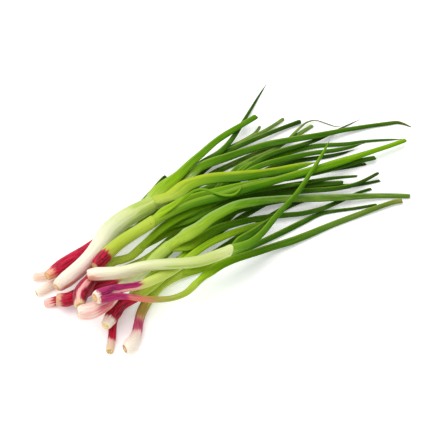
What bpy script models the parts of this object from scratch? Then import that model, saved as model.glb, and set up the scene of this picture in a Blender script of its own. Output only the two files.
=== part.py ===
"""A loose bunch of red and white spring onions lying on a table.

Every plant is a shank (root plate, bulb and sheath grown as one) and its
leaves.  The routes below are read by eye from the photograph, in millimetres
in the plane through the table point at the picture's middle that faces the
eye: u runs right, v runs up, and the third number is the thickness seen from
the eye.  The plants are laid one after the other, each as a heavy springy
line that comes to rest on the table and on whatever was laid before it.
"""
import math

import bmesh
import bpy
import numpy as np

OBJECT_NAME = "spring_onion_bunch"
MM = 0.001

# Where the eye of the photograph stands, seen from the table point at the picture's middle
VIEW_AZIMUTH = math.radians(-35.0)
VIEW_ELEVATION = math.radians(42.0)
EYE_DISTANCE = 865.4

# How the pieces are laid
SAMPLE_STEP = 2.0
GAP = 0.55
GAP_IN_VIEW = 0.3
CORE = 0.7
TABLE_SINK = 0.06
DROP_BACK = 0.3
LIFT_REACH = 4
LIFT_BLEND = 2
LIFT_PASSES = 2
SPRING_SHANK = (4.0e5, 200.0)
SPRING_LEAF = (3.0e4, 300.0)
SOFT_GROUND = 1.0e-5
LAY_ROUNDS = 30
LEVEL_STEP = 0.5
TOP_LEVEL = 60.0
SETTLE_TURNS = 160
SETTLE_MISS = 0.01
CELL = 0.5
FLOOR_POINTS = 24
HEAP_POINTS = 72
HEAP_STEP = 0.8
ROUTE_POINTS = 24
VIEW_CELL = 1.0
HALF_X = 240.0
HALF_Y = 180.0
HALF_U = 180.0
HALF_V = 135.0

# Sections and rings
SHANK_SIDES = 12
LEAF_SIDES = 8
RING_TOLERANCE = 0.17
ROUND_BULB = 1.0
FLAT_SHEATH = 0.82
SHEATH_START = 0.2
FLAT_LEAF = 0.5
FLAT_TIP = 0.7
TIP_START = 0.75
THINNEST_HALF = 0.38
NECK_GAP = 0.7
NECK_RUN = 7.0
NECK_TAIL = 18.0
TAIL_STEP = 0.2
TAIL_POINTS = 8
ROOT_SHARE = 0.7
ROOT_SPACE = 0.1
ROOT_WIDTH = 0.8
THIN_LEAF = 3.0
THIN_ROOT = (1.3, 1.0)
ROOT_GROWTH = 16.0
CUT_DEPTH = 3.0
CUT_WALL = 0.65
LEAST_HOLLOW = 0.25

# Every plant, in the order it is laid: shank route, then leaf routes from the lowest to the topmost
PLANTS = {
    "onion_13": {
        "shank": ((-93.3, -105.5, 4), (-93, -102.5, 6.3), (-91.8, -96, 6.3), (-91, -89, 6), (-90.5, -82, 6),
                  (-88, -75, 6), (-84, -69, 6), (-78, -62, 6), (-72, -55.5, 6), (-66, -49.5, 6),
                  (-60, -44, 6)),
        "leaves": (
            ("cut", ((-44, -34, 5), (-26, -22, 5), (-8, -10, 5), (10, 2, 5), (28, 13, 5.3), (45, 22, 5.3),
                     (62, 27, 5), (80, 29.3, 4.6), (100, 30.7, 4), (115, 32.6, 3.2), (128.5, 35.3, 2.5))),
        ),
    },
    "onion_14": {
        "shank": ((-81.5, -103, 5), (-79, -101.8, 9.5), (-76, -99.5, 11), (-73, -95, 9.5), (-71, -89, 8),
                  (-69.5, -81, 7.3), (-67.5, -73.5, 7.8), (-64, -66.5, 8), (-60, -60.5, 8),
                  (-56, -55.5, 8), (-51.5, -51, 7.5), (-45.5, -47, 7), (-39, -43.8, 6.5)),
        "leaves": (
            ("cut", ((-30, -40.8, 5.5), (-20, -38.3, 5), (-10, -34, 5), (0, -29, 5), (10, -24.5, 5),
                     (20, -20.3, 5), (30, -15.6, 5), (40, -11, 5), (50, -6.3, 5), (60, -1.2, 4.8),
                     (70, 3.6, 4.5), (80, 8.2, 3.8), (92, 10.4, 3.2), (105, 12, 2.9), (116, 13.8, 2.6),
                     (125.6, 15.5, 2.4))),
            ("point", ((-29, -36, 5.5), (-18, -30.5, 5.5), (-6, -23.5, 5.5), (6, -15.5, 5.5), (18, -7.5, 5.5),
                       (30, 0.5, 5), (42, 8, 5), (54, 14.5, 4.6), (66, 19, 4), (78, 21.5, 3))),
        ),
    },
    "onion_12": {
        "shank": ((-97, -84.5, 6), (-95, -81.5, 9), (-92, -77, 10.5), (-88.5, -71.5, 11.5),
                  (-84.5, -67.3, 9.5), (-78.5, -64.3, 7.3), (-72, -61, 7), (-66, -57, 7), (-60, -52.5, 7),
                  (-53, -46.5, 7), (-46, -40, 7)),
        "leaves": (
            ("point", ((-34, -27, 5), (-20, -12, 5), (-4, 6, 5), (12, 24, 5), (26, 37, 5), (40, 46, 5),
                       (55, 50.5, 4.8), (70, 53, 4.4), (85, 55, 3.8), (97, 57.5, 3), (107, 60.5, 1.8))),
            ("cut", ((-32, -30, 5.5), (-18, -18, 5.5), (-4, -4, 5.5), (10, 10, 5.5), (24, 21, 5.5),
                     (40, 27.5, 5.2), (60, 30.5, 5), (80, 32.2, 4.6), (98.3, 33.6, 4.2))),
            ("point", ((-35, -29, 5.5), (-24, -17, 5.5), (-14, -6, 5.5), (-4, 2.5, 5.5), (8, 9, 5.5),
                       (20, 13, 5), (32, 16, 5), (46, 18.5, 4.6), (60, 20, 4), (72, 21, 3))),
        ),
    },
    "onion_01": {
        "shank": ((-156.5, -44.5, 5.5), (-154, -44.2, 7), (-150, -43.8, 7.5), (-144, -42.5, 7.5),
                  (-134, -38, 7.5), (-122, -31, 7.5), (-110, -22.5, 7.5), (-99, -13, 7.5), (-90, -4, 7.5),
                  (-84, 2, 7.5)),
        "leaves": (
            ("cut", ((-74, 10, 5), (-64, 20, 5), (-56, 29, 4.8), (-51, 35, 4.5), (-47.2, 39, 4))),
            ("cut", ((-72, 9, 5), (-58, 19, 5), (-44, 30, 5), (-30, 41, 4.5), (-15, 51, 4), (0, 60, 3.5),
                     (12, 66, 3.2), (22, 71.5, 3), (27, 75.5, 2.8), (30, 80, 2.6))),
        ),
    },
    "onion_03": {
        "shank": ((-154, -57.5, 5), (-151.5, -56.4, 7), (-143, -52, 7.5), (-134, -47.5, 7.5),
                  (-124, -42, 7.5), (-112, -35, 7.5), (-102, -27, 7.5), (-92, -18, 7.5), (-86, -13, 7.5),
                  (-80, -9, 7.5)),
        "leaves": (
            ("cut", ((-66, 2, 5), (-50, 15, 5), (-34, 28, 5), (-18, 42, 5), (-4, 53.5, 5), (8, 62.5, 4.6),
                     (20, 69, 4.4), (32, 75, 4), (42, 81, 3.6), (49.3, 86, 3.4))),
            ("cut", ((-64, 0, 6), (-46, 12, 6), (-28, 26, 6), (-10, 40, 6), (5, 47.5, 5.5),
                     (20, 54.3, 5.5), (32, 59.3, 5.2), (45, 64.5, 4.8), (56, 70, 4.2), (65, 75.5, 3.8),
                     (73, 80.5, 3.6))),
            ("cut", ((-66, -1.5, 5.5), (-56, 6, 5.5), (-44, 13, 5.5), (-32, 19.5, 5.5), (-20, 26, 5.5),
                     (-8, 31, 5.5), (6, 35, 5.2), (22, 38, 5), (40, 40.3, 5), (60, 42, 4.8), (80, 43.7, 4.4),
                     (100, 46, 3.6), (117, 49, 2.8))),
        ),
    },
    "onion_05": {
        "shank": ((-147.5, -66, 5), (-145, -65.4, 7), (-141, -64.5, 7.5), (-134, -62.5, 7.5),
                  (-124, -59, 7.5), (-115, -54.5, 7.5), (-106, -49.5, 7.5), (-97, -44.5, 7.5),
                  (-87, -40, 7), (-78, -36.5, 7), (-70, -33, 7)),
        "leaves": (
            ("wisp", ((-52, -20, 5), (-34, -2, 5), (-18, 15, 5), (-2, 32, 5), (12, 46, 4.5),
                      (26, 53.5, 4.5), (40, 60, 4), (51, 67, 3.5), (58, 74, 2.8), (63, 78.7, 2.4),
                      (68.5, 83, 1.8), (76, 84.5, 1.2), (86, 81.3, 1.1), (93, 79.5, 1), (98, 80.6, 0.9))),
            ("point", ((-54, -22, 6), (-36, -6, 6), (-20, 10, 6), (-5, 26, 6), (8, 38, 6), (20, 47, 5.5),
                       (35, 52, 5.5), (50, 57, 5), (65, 61.5, 5), (80, 64, 4.5), (100, 65.2, 4),
                       (115, 67.3, 3), (130, 68.3, 2.6), (146, 69.3, 1.8))),
        ),
    },
    "onion_06": {
        "shank": ((-137.5, -62.5, 7), (-134, -62.5, 10), (-128, -62.3, 11), (-121, -60, 9),
                  (-113, -56.5, 8), (-104, -52.5, 7.5), (-95, -50, 7), (-86, -47, 7), (-76, -42.5, 7),
                  (-66, -37.5, 7), (-58, -33.5, 7)),
        "leaves": (
            ("wisp", ((-40, -17, 5), (-24, 0, 5), (-8, 17, 5), (8, 34, 5), (22, 47, 5), (35, 55, 4.8),
                      (48, 60, 4.5), (60, 63.3, 4.2), (77, 68.8, 3.6), (90, 75, 2.6), (100, 79.8, 1.6),
                      (106, 82.6, 1.2), (112, 85.5, 0.9))),
            ("point", ((-42, -20, 6), (-26, -5, 6), (-10, 11, 6), (5, 28, 6), (18, 41, 5.5),
                       (32, 48, 5.5), (46, 52, 5.3), (60, 55.3, 5), (75, 58, 4.8), (90, 59.8, 4.3),
                       (103, 62.3, 3.4), (116, 66, 1.8))),
        ),
    },
    "onion_02": {
        "shank": ((-145, -43.5, 5), (-141, -41, 9), (-133, -36, 12), (-124, -30, 11.5), (-112, -21.5, 9),
                  (-100, -12.5, 8), (-88, -2, 8), (-78, 6, 8), (-70, 11, 8)),
        "leaves": (
            ("cut", ((-58, 19, 5.5), (-44, 29, 5.5), (-28, 40, 5.5), (-12, 51, 5), (0, 57.5, 5),
                     (10, 62.5, 5), (20, 66.8, 4.8), (30, 71, 4.6), (40, 75, 4.5), (50, 79, 4.5),
                     (63.3, 83.8, 4.6))),
            ("point", ((-58, 20, 6), (-45, 31, 6), (-30, 42, 6), (-14, 52, 6), (-4, 58, 5.5),
                       (4, 65.5, 5), (10, 73.5, 4.6), (16, 83, 3.8), (22, 93, 3), (28, 103, 2.2),
                       (35.2, 114.5, 0.8))),
        ),
    },
    "onion_07": {
        "shank": ((-117.5, -68, 5), (-118, -64, 9.5), (-117, -58, 12), (-113.5, -52, 12),
                  (-108.5, -46, 10), (-103, -40.5, 8.5), (-97, -35.5, 7.5), (-90, -31.3, 7),
                  (-82, -29.3, 6.5), (-76, -27, 6.5), (-70, -22, 7)),
        "leaves": (
            ("cut", ((-62, -18.5, 5.5), (-53, -12, 6), (-44, -6.5, 6), (-34, -2.5, 5.5), (-20, 4.5, 5),
                     (-5, 11.5, 5), (10, 17, 5), (28, 22, 5), (48, 25, 5), (70, 27, 4.8),
                     (90, 28.5, 4.6), (104, 31, 4), (114, 34.6, 3.4), (127, 41.5, 3))),
            ("cut", ((-64, -15.5, 6.5), (-57, -9.3, 6.5), (-48, -3.8, 6.5), (-38, -0.3, 6),
                     (-28, 2.5, 5.5), (-15, 8.5, 5), (0, 16, 5), (14, 21.5, 5), (30, 26.5, 5),
                     (50, 30.5, 4.8), (70, 34, 4.2), (88, 37, 3.4), (100, 38, 2.8), (110, 38.8, 2.4))),
            ("point", ((-62.5, -13.5, 6.5), (-54, -6.5, 7), (-46, -0.5, 7), (-37.5, 4.5, 7), (-28, 9, 6.5),
                       (-18, 13.5, 6), (-8, 18, 5.5), (5, 22.5, 5), (20, 26, 5), (38, 29, 4.4),
                       (56, 31.5, 3.6), (70, 33, 2.4))),
        ),
    },
    "onion_04": {
        "shank": ((-137.5, -52.5, 7), (-133.5, -49.3, 11), (-126.5, -44, 13), (-117, -36, 13),
                  (-108, -26.5, 13), (-101, -17, 14), (-94.5, -7.5, 15.5), (-86, 0, 16), (-78, 5.5, 15.5),
                  (-70, 9.8, 15), (-63, 13.5, 14)),
        "leaves": (
            ("point", ((-52, 17, 8), (-42, 26, 8), (-33, 34.5, 8), (-26, 41, 8), (-18, 47, 8.5),
                       (-8, 51, 8.5), (2, 54.3, 8.3), (12, 57.7, 7.5), (24, 61.5, 6.8), (38, 65.5, 6.6),
                       (52, 68, 6.3), (66, 70.4, 6.2), (80, 72.8, 6), (95, 75.8, 4.8), (110, 78.4, 4.6),
                       (122, 80.3, 4.2), (133, 81.7, 3), (142, 82.9, 2.2), (148, 81.5, 1.8),
                       (153.5, 79.3, 0.9))),
            ("cut", ((-56, 22.5, 11), (-48, 30.5, 10), (-37, 39.5, 8), (-27.5, 49, 7.3),
                     (-17.5, 57.5, 7), (-7.5, 66.3, 6.5), (2, 73, 6.4), (11, 78.6, 5.6), (19, 83.3, 5.3),
                     (27, 88, 5.6))),
            ("point", ((-53, 14, 8), (-45, 19.2, 7.5), (-38, 25.3, 9), (-31, 31, 9.3), (-22, 34.5, 9.5),
                     (-10, 37, 11), (5, 38.3, 10.6), (20, 39.7, 9.6), (35, 41.7, 8.2), (50, 44.6, 6.6),
                     (62, 47.2, 4.6), (71, 49.2, 2.6), (78, 50.4, 1))),
        ),
    },
    "onion_15": {
        "shank": ((-106, -35.5, 6), (-103.5, -33, 9.5), (-99, -28.5, 11), (-93, -22.5, 10.5),
                  (-86, -16.5, 10), (-78, -11, 9.8), (-70, -6, 9.5), (-62, -1, 10)),
        "leaves": (
            ("cut", ((-52, 8.5, 6.5), (-42, 14, 7), (-32, 19, 7), (-20, 22.8, 6.5), (-8, 26, 6),
                     (5, 29, 6), (20, 32, 6), (40, 35.5, 5.5), (60, 38.5, 5.5), (80, 43, 5.5),
                     (97, 47.5, 5.3), (112, 51.5, 4.8), (124.7, 54, 4.4))),
            ("cut", ((-52, 5, 7), (-42, 9.5, 7), (-30, 14.5, 7.5), (-20, 17.8, 7.5), (-8, 21, 8),
                     (5, 24.5, 8.5), (20, 29.5, 8), (34, 33, 7.3), (50, 37.5, 6.5), (65, 41.8, 6.5),
                     (80, 45.8, 7), (95, 50.5, 7), (110, 55.3, 5.5), (125, 60, 4.6), (138, 64.2, 4.4),
                     (149.3, 68.3, 4.2))),
            ("wisp", ((-50, 8, 2.4), (-40, 14.5, 2.4), (-31, 22, 2.4), (-24, 26.7, 2.2), (-17, 28, 2.2),
                      (-9, 26, 2.2), (-2, 23.6, 2.2), (4, 23, 2.2), (9, 24, 2), (12.5, 26.8, 1.8),
                      (14.3, 29.5, 1.4), (15.3, 32, 0.9))),
        ),
    },
    "onion_09": {
        "shank": ((-120, -73.5, 7), (-116, -73, 11), (-109, -71.8, 12.5), (-102, -69, 11.5),
                  (-95, -65.3, 9.5), (-89, -59, 8), (-84, -52.5, 7.5), (-78, -47, 7.5), (-70, -41.5, 8),
                  (-62, -35, 8.5), (-55, -27.5, 9), (-48, -21.5, 9.5)),
        "leaves": (
            ("cut", ((-40, -22.5, 7), (-30, -19.3, 7.5), (-20, -13, 7.5), (-10, -6.8, 7.5),
                     (0, -2.3, 7), (10, 0.3, 6), (22, 3, 5.3), (36, 5.3, 5), (50, 6.8, 4.8),
                     (65, 8.3, 4.4), (80, 12, 4.2), (90, 16, 4), (100, 20.3, 3.5), (110, 25, 3),
                     (121.5, 28.6, 2.6))),
            ("cut", ((-40, -16, 9.5), (-30, -9, 9.7), (-20, -2.8, 8.6), (-10, 4.7, 8.4), (0, 10.2, 8.4),
                     (10, 14.8, 8.4), (22, 17.5, 8), (36, 19.3, 6.6), (50, 20.3, 6.8), (65, 20.7, 7.2),
                     (80, 21, 7.2), (95, 21.5, 6.5), (110, 22.2, 5.6), (125, 22.8, 5), (140, 22.9, 4.7),
                     (153.3, 22.5, 4.5))),
        ),
    },
    "onion_10": {
        "shank": ((-106, -61.3, 7), (-103, -60.2, 10.5), (-97, -58.3, 11.5), (-90, -54.9, 8.7),
                  (-81, -53, 6.5), (-71, -51.6, 6.3), (-62, -48.7, 7.2), (-54, -45, 7.5),
                  (-46, -41.3, 7.5), (-38, -36.5, 7)),
        "leaves": (
            ("point", ((-30, -29.5, 6), (-22, -23, 6), (-13, -17, 6), (-3, -12, 6), (8, -7.5, 5.5),
                       (20, -3.3, 5), (32, 0, 4), (42, 3.5, 2.5), (47, 5.5, 1.2))),
        ),
    },
    "onion_11": {
        "shank": ((-101.5, -62.5, 3), (-99, -62.2, 5.5), (-94, -61.3, 6), (-88, -60, 5.2),
                  (-80, -59.8, 4.4), (-70, -61.3, 4.6), (-60, -62.2, 4.8), (-50, -62.2, 4.5),
                  (-42, -61.2, 4.4), (-35, -59, 4.6), (-29.5, -56, 5), (-25.5, -52.3, 5.5)),
        "leaves": (
            ("cut", ((-20.8, -47.2, 6.3), (-15.3, -42.6, 7), (-9, -38.2, 7.5), (-2, -33.7, 7.3),
                     (7, -29.8, 6.5), (18, -26.2, 6), (30, -22.5, 6), (42, -18.5, 6), (55, -14.5, 6.3),
                     (70, -8.8, 6), (85, -2.4, 5.5), (98, 2.7, 5), (110, 7.2, 5), (122, 11.7, 4.6),
                     (134, 15.9, 4.3), (141, 18, 4.3), (147, 18.9, 4.6))),
        ),
    },
    "onion_08": {
        "shank": ((-112, -42.8, 7), (-109, -42.2, 8.8), (-104, -41.6, 10), (-96, -41.2, 10),
                  (-87, -40.6, 9.6), (-78, -38.8, 9), (-68, -36, 8.6), (-57, -34.3, 8.4),
                  (-44, -33.2, 8.4), (-30, -32.4, 8.6), (-18, -30.5, 9), (-8, -27.2, 9),
                  (2, -23.3, 8.5)),
        "leaves": (
            ("point", ((10, -16, 6), (16, -12, 6.5), (23, -8, 6.5), (30, -3.5, 6), (36, 1, 5),
                       (41, 5.5, 3), (44.5, 9, 1.3))),
            ("point", ((10, -20.8, 6.5), (16.5, -18.3, 6.5), (24, -14.3, 6), (30.5, -9, 5.4),
                       (36, -3, 5), (41.5, 4, 4.8), (47.5, 10.8, 4.6), (53, 16.8, 4.4),
                       (58.2, 22.3, 4.2), (62.8, 28.3, 4), (67.3, 35, 4), (71.8, 42, 3.6),
                       (76.3, 49, 3.2), (80.3, 55.5, 2.8), (83.8, 61.8, 2.2), (87, 68.5, 1))),
        ),
    },
}

# Tints of the plain materials: sheath near the bulb, pale stem, leaf
SHANK_TINTS = {
    "onion_01": (0.85, 0.74, 0.60), "onion_02": (0.55, 0.05, 0.14), "onion_03": (0.86, 0.72, 0.58),
    "onion_04": (0.86, 0.84, 0.70), "onion_05": (0.62, 0.25, 0.32), "onion_06": (0.45, 0.06, 0.14),
    "onion_07": (0.58, 0.14, 0.20), "onion_08": (0.84, 0.82, 0.68), "onion_09": (0.80, 0.60, 0.50),
    "onion_10": (0.50, 0.08, 0.30), "onion_11": (0.60, 0.20, 0.25), "onion_12": (0.40, 0.02, 0.08),
    "onion_13": (0.50, 0.03, 0.14), "onion_14": (0.72, 0.50, 0.40), "onion_15": (0.55, 0.55, 0.22),
}
LEAF_TINTS = ((0.16, 0.34, 0.04), (0.10, 0.26, 0.04), (0.22, 0.42, 0.05))

BACK = np.array((math.sin(VIEW_AZIMUTH) * math.cos(VIEW_ELEVATION),
                 -math.cos(VIEW_AZIMUTH) * math.cos(VIEW_ELEVATION),
                 math.sin(VIEW_ELEVATION)))
RIGHT = np.array((math.cos(VIEW_AZIMUTH), math.sin(VIEW_AZIMUTH), 0.0))
UP = np.cross(BACK, RIGHT)
EYE = BACK * EYE_DISTANCE


def on_sight_line(view, height):
    """Points at the given heights on the lines from the eye through (u, v)."""
    plane = view[:, :1] * RIGHT + view[:, 1:2] * UP
    share = (EYE[2] - height) / (EYE[2] - plane[:, 2])
    return EYE + (plane - EYE) * share[:, None]


def seen_at(points):
    """Where the eye sees points, as (u, v)."""
    ray = points - EYE
    depth = -(ray @ BACK)
    return np.stack((ray @ RIGHT, ray @ UP), -1) * (EYE_DISTANCE / depth)[..., None]


def smooth_route(stops, step):
    """An even walk along a smooth curve through the stops, each (u, v, thickness)."""
    stops = np.array(stops, float)
    padded = np.vstack((2 * stops[0] - stops[1], stops, 2 * stops[-1] - stops[-2]))
    fine = []
    for i in range(1, len(padded) - 2):
        p0, p1, p2, p3 = padded[i - 1:i + 3]
        for t in np.linspace(0.0, 1.0, ROUTE_POINTS, endpoint=False):
            fine.append(0.5 * (2 * p1 + (p2 - p0) * t + (2 * p0 - 5 * p1 + 4 * p2 - p3) * t ** 2
                               + (3 * p1 - p0 - 3 * p2 + p3) * t ** 3))
    fine.append(stops[-1])
    fine = np.array(fine)
    run = np.concatenate(((0.0,), np.cumsum(np.linalg.norm(np.diff(fine[:, :2], axis=0), axis=1))))
    count = max(6, int(round(run[-1] / step)) + 1)
    even = np.linspace(0.0, run[-1], count)
    return np.stack([np.interp(even, run, fine[:, k]) for k in range(3)], 1), even


def frames(axis):
    """Tangent, side and upward direction at every point of an axis."""
    tangent = np.gradient(axis, axis=0)
    tangent /= np.linalg.norm(tangent, axis=1)[:, None]
    side = np.cross((0.0, 0.0, 1.0), tangent)
    side /= np.linalg.norm(side, axis=1)[:, None]
    return tangent, side, np.cross(tangent, side)


def half_sizes(axis, seen, flat):
    """Half width and half height of a flattened section that looks as thick as it was read."""
    tangent, side, over = frames(axis)
    across = np.cross(BACK, tangent)
    across /= np.linalg.norm(across, axis=1)[:, None]
    wide = np.einsum("ij,ij->i", side, across)
    high = np.einsum("ij,ij->i", over, across)
    half = 0.5 * seen / np.sqrt(wide ** 2 + (high * flat) ** 2)
    return half, np.maximum(half * flat, THINNEST_HALF)


def ring_points(axis, wide, high, sides, turn=0.0):
    """Points of the sections round an axis."""
    tangent, side, over = frames(axis)
    angle = (np.arange(sides) + turn) * 2 * math.pi / sides
    return (axis[:, None, :] + (wide[:, None] * np.cos(angle))[..., None] * side[:, None, :]
            + (high[:, None] * np.sin(angle))[..., None] * over[:, None, :])


def most_around(values, reach):
    """The highest value within reach of every sample."""
    padded = np.concatenate((np.full(reach, values[0]), values, np.full(reach, values[-1])))
    return np.max([padded[k:k + len(values)] for k in range(2 * reach + 1)], axis=0)


def settle(floor, step, spring, held):
    """Heights of a heavy springy line resting on a floor, held at the samples asked for."""
    stiffness, taut = spring
    count = len(floor)
    bend = np.zeros((count - 2, count))
    for row in range(count - 2):
        bend[row, row:row + 3] = (1.0, -2.0, 1.0)
    rise = np.eye(count - 1, count, 1) - np.eye(count - 1, count)
    matrix = stiffness * bend.T @ bend / step ** 3 + taut * rise.T @ rise / step
    matrix += SOFT_GROUND * np.eye(count)
    load = np.full(count, -step)
    fixed = np.zeros(count, bool)
    known = floor.copy()
    for index, height in held.items():
        fixed[index] = True
        known[index] = height
    touching = ~fixed
    line = known.copy()
    for turn in range(SETTLE_TURNS):
        pinned = touching | fixed
        free = ~pinned
        line = known.copy()
        if free.any():
            pull = load[free] - matrix[np.ix_(free, pinned)] @ known[pinned]
            line[free] = np.linalg.solve(matrix[np.ix_(free, free)], pull)
        push = matrix @ line - load
        sunk = np.where(pinned, 0.0, floor - line)
        hung = np.where(touching, -push, 0.0)
        if sunk.max() > SETTLE_MISS:
            touching[int(np.argmax(sunk))] = True
        elif hung.max() > SETTLE_MISS:
            if turn == 0:
                touching &= hung <= 0.0
                touching[-1] = True
            else:
                touching[int(np.argmax(hung))] = False
        else:
            break
    short = np.where(fixed, 0.0, np.maximum(floor - line, 0.0))
    lift = most_around(short, LIFT_REACH)
    for _ in range(LIFT_PASSES):
        padded = np.concatenate((np.full(LIFT_BLEND, lift[0]), lift, np.full(LIFT_BLEND, lift[-1])))
        lift = np.mean([padded[k:k + count] for k in range(2 * LIFT_BLEND + 1)], axis=0)
    return line + np.where(fixed, 0.0, lift)


class Heap:
    """What has been laid so far: how high it stands, and how high it reaches on every line of sight."""

    def __init__(self):
        self.top = np.zeros((int(2 * HALF_X / CELL), int(2 * HALF_Y / CELL)))
        self.seen = np.zeros((int(2 * HALF_U / VIEW_CELL), int(2 * HALF_V / VIEW_CELL)))

    def floor_under(self, axis, wide, high, sides, in_view=True):
        """The lowest heights the axis may take over the heap and before it, as the eye sees it."""
        shell = ring_points(axis, wide, high, FLOOR_POINTS)
        drop = shell[..., 2] - axis[:, None, 2]
        column = ((shell[..., 0] + HALF_X) / CELL).astype(int)
        row = ((shell[..., 1] + HALF_Y) / CELL).astype(int)
        under = self.top[column, row]
        need = np.where(under > 0, under + GAP - drop, 0.0).max(1)
        need = np.maximum(need, high * math.cos(math.pi / sides) - TABLE_SINK)
        if in_view:
            view = seen_at(ring_points(axis, CORE * wide, CORE * high, FLOOR_POINTS))
            column = ((view[..., 0] + HALF_U) / VIEW_CELL).astype(int)
            row = ((view[..., 1] + HALF_V) / VIEW_CELL).astype(int)
            behind = self.seen[column, row]
            need = np.maximum(need, np.where(behind > 0, behind + GAP_IN_VIEW - drop, 0.0).max(1))
        return need

    def add(self, axis, wide, high):
        """Take a piece into the heap."""
        run = np.concatenate(((0.0,), np.cumsum(np.linalg.norm(np.diff(axis, axis=0), axis=1))))
        even = np.linspace(0.0, run[-1], int(run[-1] / (HEAP_STEP * CELL)) + 2)
        axis = np.stack([np.interp(even, run, axis[:, k]) for k in range(3)], 1)
        shell = ring_points(axis, np.interp(even, run, wide), np.interp(even, run, high), HEAP_POINTS)
        shell = shell.reshape(-1, 3)
        for dx in (-CELL, 0.0, CELL):
            for dy in (-CELL, 0.0, CELL):
                column = ((shell[:, 0] + dx + HALF_X) / CELL).astype(int)
                row = ((shell[:, 1] + dy + HALF_Y) / CELL).astype(int)
                np.maximum.at(self.top, (column, row), shell[:, 2])
        view = seen_at(shell)
        column = ((view[:, 0] + HALF_U) / VIEW_CELL).astype(int)
        row = ((view[:, 1] + HALF_V) / VIEW_CELL).astype(int)
        np.maximum.at(self.seen, (column, row), shell[:, 2])


def lay(heap, view, seen, flat, spring, sides, held, sizes=None):
    """Lay one piece: its axis and half sizes, so that it looks as it was read."""

    def section(axis):
        wide, high = half_sizes(axis, seen, flat)
        return sizes(wide, high) if sizes is not None else (wide, high)

    levels = np.arange(0.0, TOP_LEVEL, LEVEL_STEP)
    count = len(view)
    free_at = np.full((len(levels) + 1, count), TOP_LEVEL)
    for number in range(len(levels) - 1, -1, -1):
        axis = on_sight_line(view, np.full(count, levels[number]))
        wide, high = section(axis)
        need = most_around(heap.floor_under(axis, wide, high, sides), 1)
        fits = need <= levels[number] + LEVEL_STEP
        free_at[number] = np.where(fits, np.maximum(need, levels[number]), free_at[number + 1])
    step = float(np.mean(np.linalg.norm(np.diff(axis, axis=0), axis=1)))
    floor = free_at[0].copy()
    for _ in range(LAY_ROUNDS):
        height = settle(floor, step, spring, held)
        number = np.clip((height / LEVEL_STEP).astype(int), 0, len(levels) - 1)
        lowest = free_at[number, np.arange(count)]
        if (lowest <= height + LEVEL_STEP).all():
            break
        floor = np.maximum(floor, np.where(lowest > height + LEVEL_STEP, lowest, floor))
    axis = on_sight_line(view, height)
    wide, high = section(axis)
    under = most_around(heap.floor_under(axis, wide, high, sides, False), 1)
    axis[:, 2] = np.maximum(settle(np.maximum(under, height - DROP_BACK), step, spring, held), axis[:, 2])
    return axis, wide, high


def lay_shank(heap, stops):
    """A shank with a short run past its neck, kept clear for its leaves."""
    stops = [tuple(stop) for stop in stops]
    last = np.array(stops[-1], float)
    onward = last - np.array(stops[-2], float)
    onward[2] = 0.0
    onward *= NECK_TAIL / np.linalg.norm(onward)
    route = smooth_route(stops, SAMPLE_STEP)[0]
    tail = last + onward * np.linspace(TAIL_STEP, 1.0, TAIL_POINTS)[:, None]
    own = len(route)
    route = np.vstack((route, tail))
    share = np.clip(np.arange(len(route)) / (own - 1), 0.0, 1.0)
    flat = ROUND_BULB + (FLAT_SHEATH - ROUND_BULB) * np.clip((share - SHEATH_START) / (1 - SHEATH_START), 0.0, 1.0)
    axis, wide, high = lay(heap, route[:, :2], route[:, 2], flat, SPRING_SHANK, SHANK_SIDES, {})
    return axis[:own], wide[:own], high[:own]


def lay_leaves(heap, shank, leaves):
    """The leaves of a plant, one above the other at the neck."""
    axis, wide, high = shank
    neck = axis[-1]
    onward = axis[-1] - axis[-3]
    onward /= np.linalg.norm(onward)
    pitch = 2 * high[-1] / len(leaves)
    laid = []
    for number, (end, stops) in enumerate(leaves):
        thin = min(stop[2] for stop in stops[:2]) < THIN_LEAF
        root_high = 0.5 * (pitch - GAP - ROOT_SPACE)
        root_wide = ROOT_WIDTH * wide[-1]
        if thin:
            root_wide = THIN_ROOT[0]
            root_high = min(root_high, THIN_ROOT[1])
        lift = (number - 0.5 * (len(leaves) - 1)) * pitch
        first = neck + onward * NECK_GAP + (0.0, 0.0, lift)
        second = first + onward * ROOT_SHARE * NECK_RUN
        ends = seen_at(np.array((first, second)))
        start = [(ends[0][0], ends[0][1], stops[0][2]), (ends[1][0], ends[1][1], stops[0][2])]
        route, even = smooth_route(start + list(stops), SAMPLE_STEP)
        run_in_view = np.linalg.norm(ends[1] - ends[0])
        held = {}
        for index, along in enumerate(even):
            if along > run_in_view + 0.1:
                break
            held[index] = first[2] + (second[2] - first[2]) * along / run_in_view
        share = even / even[-1]
        flat = FLAT_LEAF + (FLAT_TIP - FLAT_LEAF) * np.clip((share - TIP_START) / (1 - TIP_START), 0.0, 1.0)
        grown = np.clip((even - run_in_view) / ROOT_GROWTH, 0.0, 1.0)
        grown = grown * grown * (3 - 2 * grown)

        def sizes(half_wide, half_high):
            return (root_wide + (half_wide - root_wide) * grown,
                    root_high + (half_high - root_high) * grown)

        piece = lay(heap, route[:, :2], route[:, 2], flat, SPRING_LEAF, LEAF_SIDES, held, sizes)
        heap.add(*piece)
        laid.append((end, piece, (neck + onward * ROOT_SHARE * NECK_GAP, onward)))
    return laid


def kept_rings(axis, wide, high):
    """The fewest samples that still follow the axis and its sizes."""
    data = np.column_stack((axis, wide, high))
    keep = {0, len(data) - 1}
    open_runs = [(0, len(data) - 1)]
    while open_runs:
        a, b = open_runs.pop()
        if b - a < 2:
            continue
        share = (np.arange(a + 1, b) - a)[:, None] / (b - a)
        away = np.linalg.norm(data[a + 1:b] - (data[a] + (data[b] - data[a]) * share), axis=1)
        worst = int(np.argmax(away))
        if away[worst] > RING_TOLERANCE:
            middle = a + 1 + worst
            keep.add(middle)
            open_runs += [(a, middle), (middle, b)]
    return sorted(keep)


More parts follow.
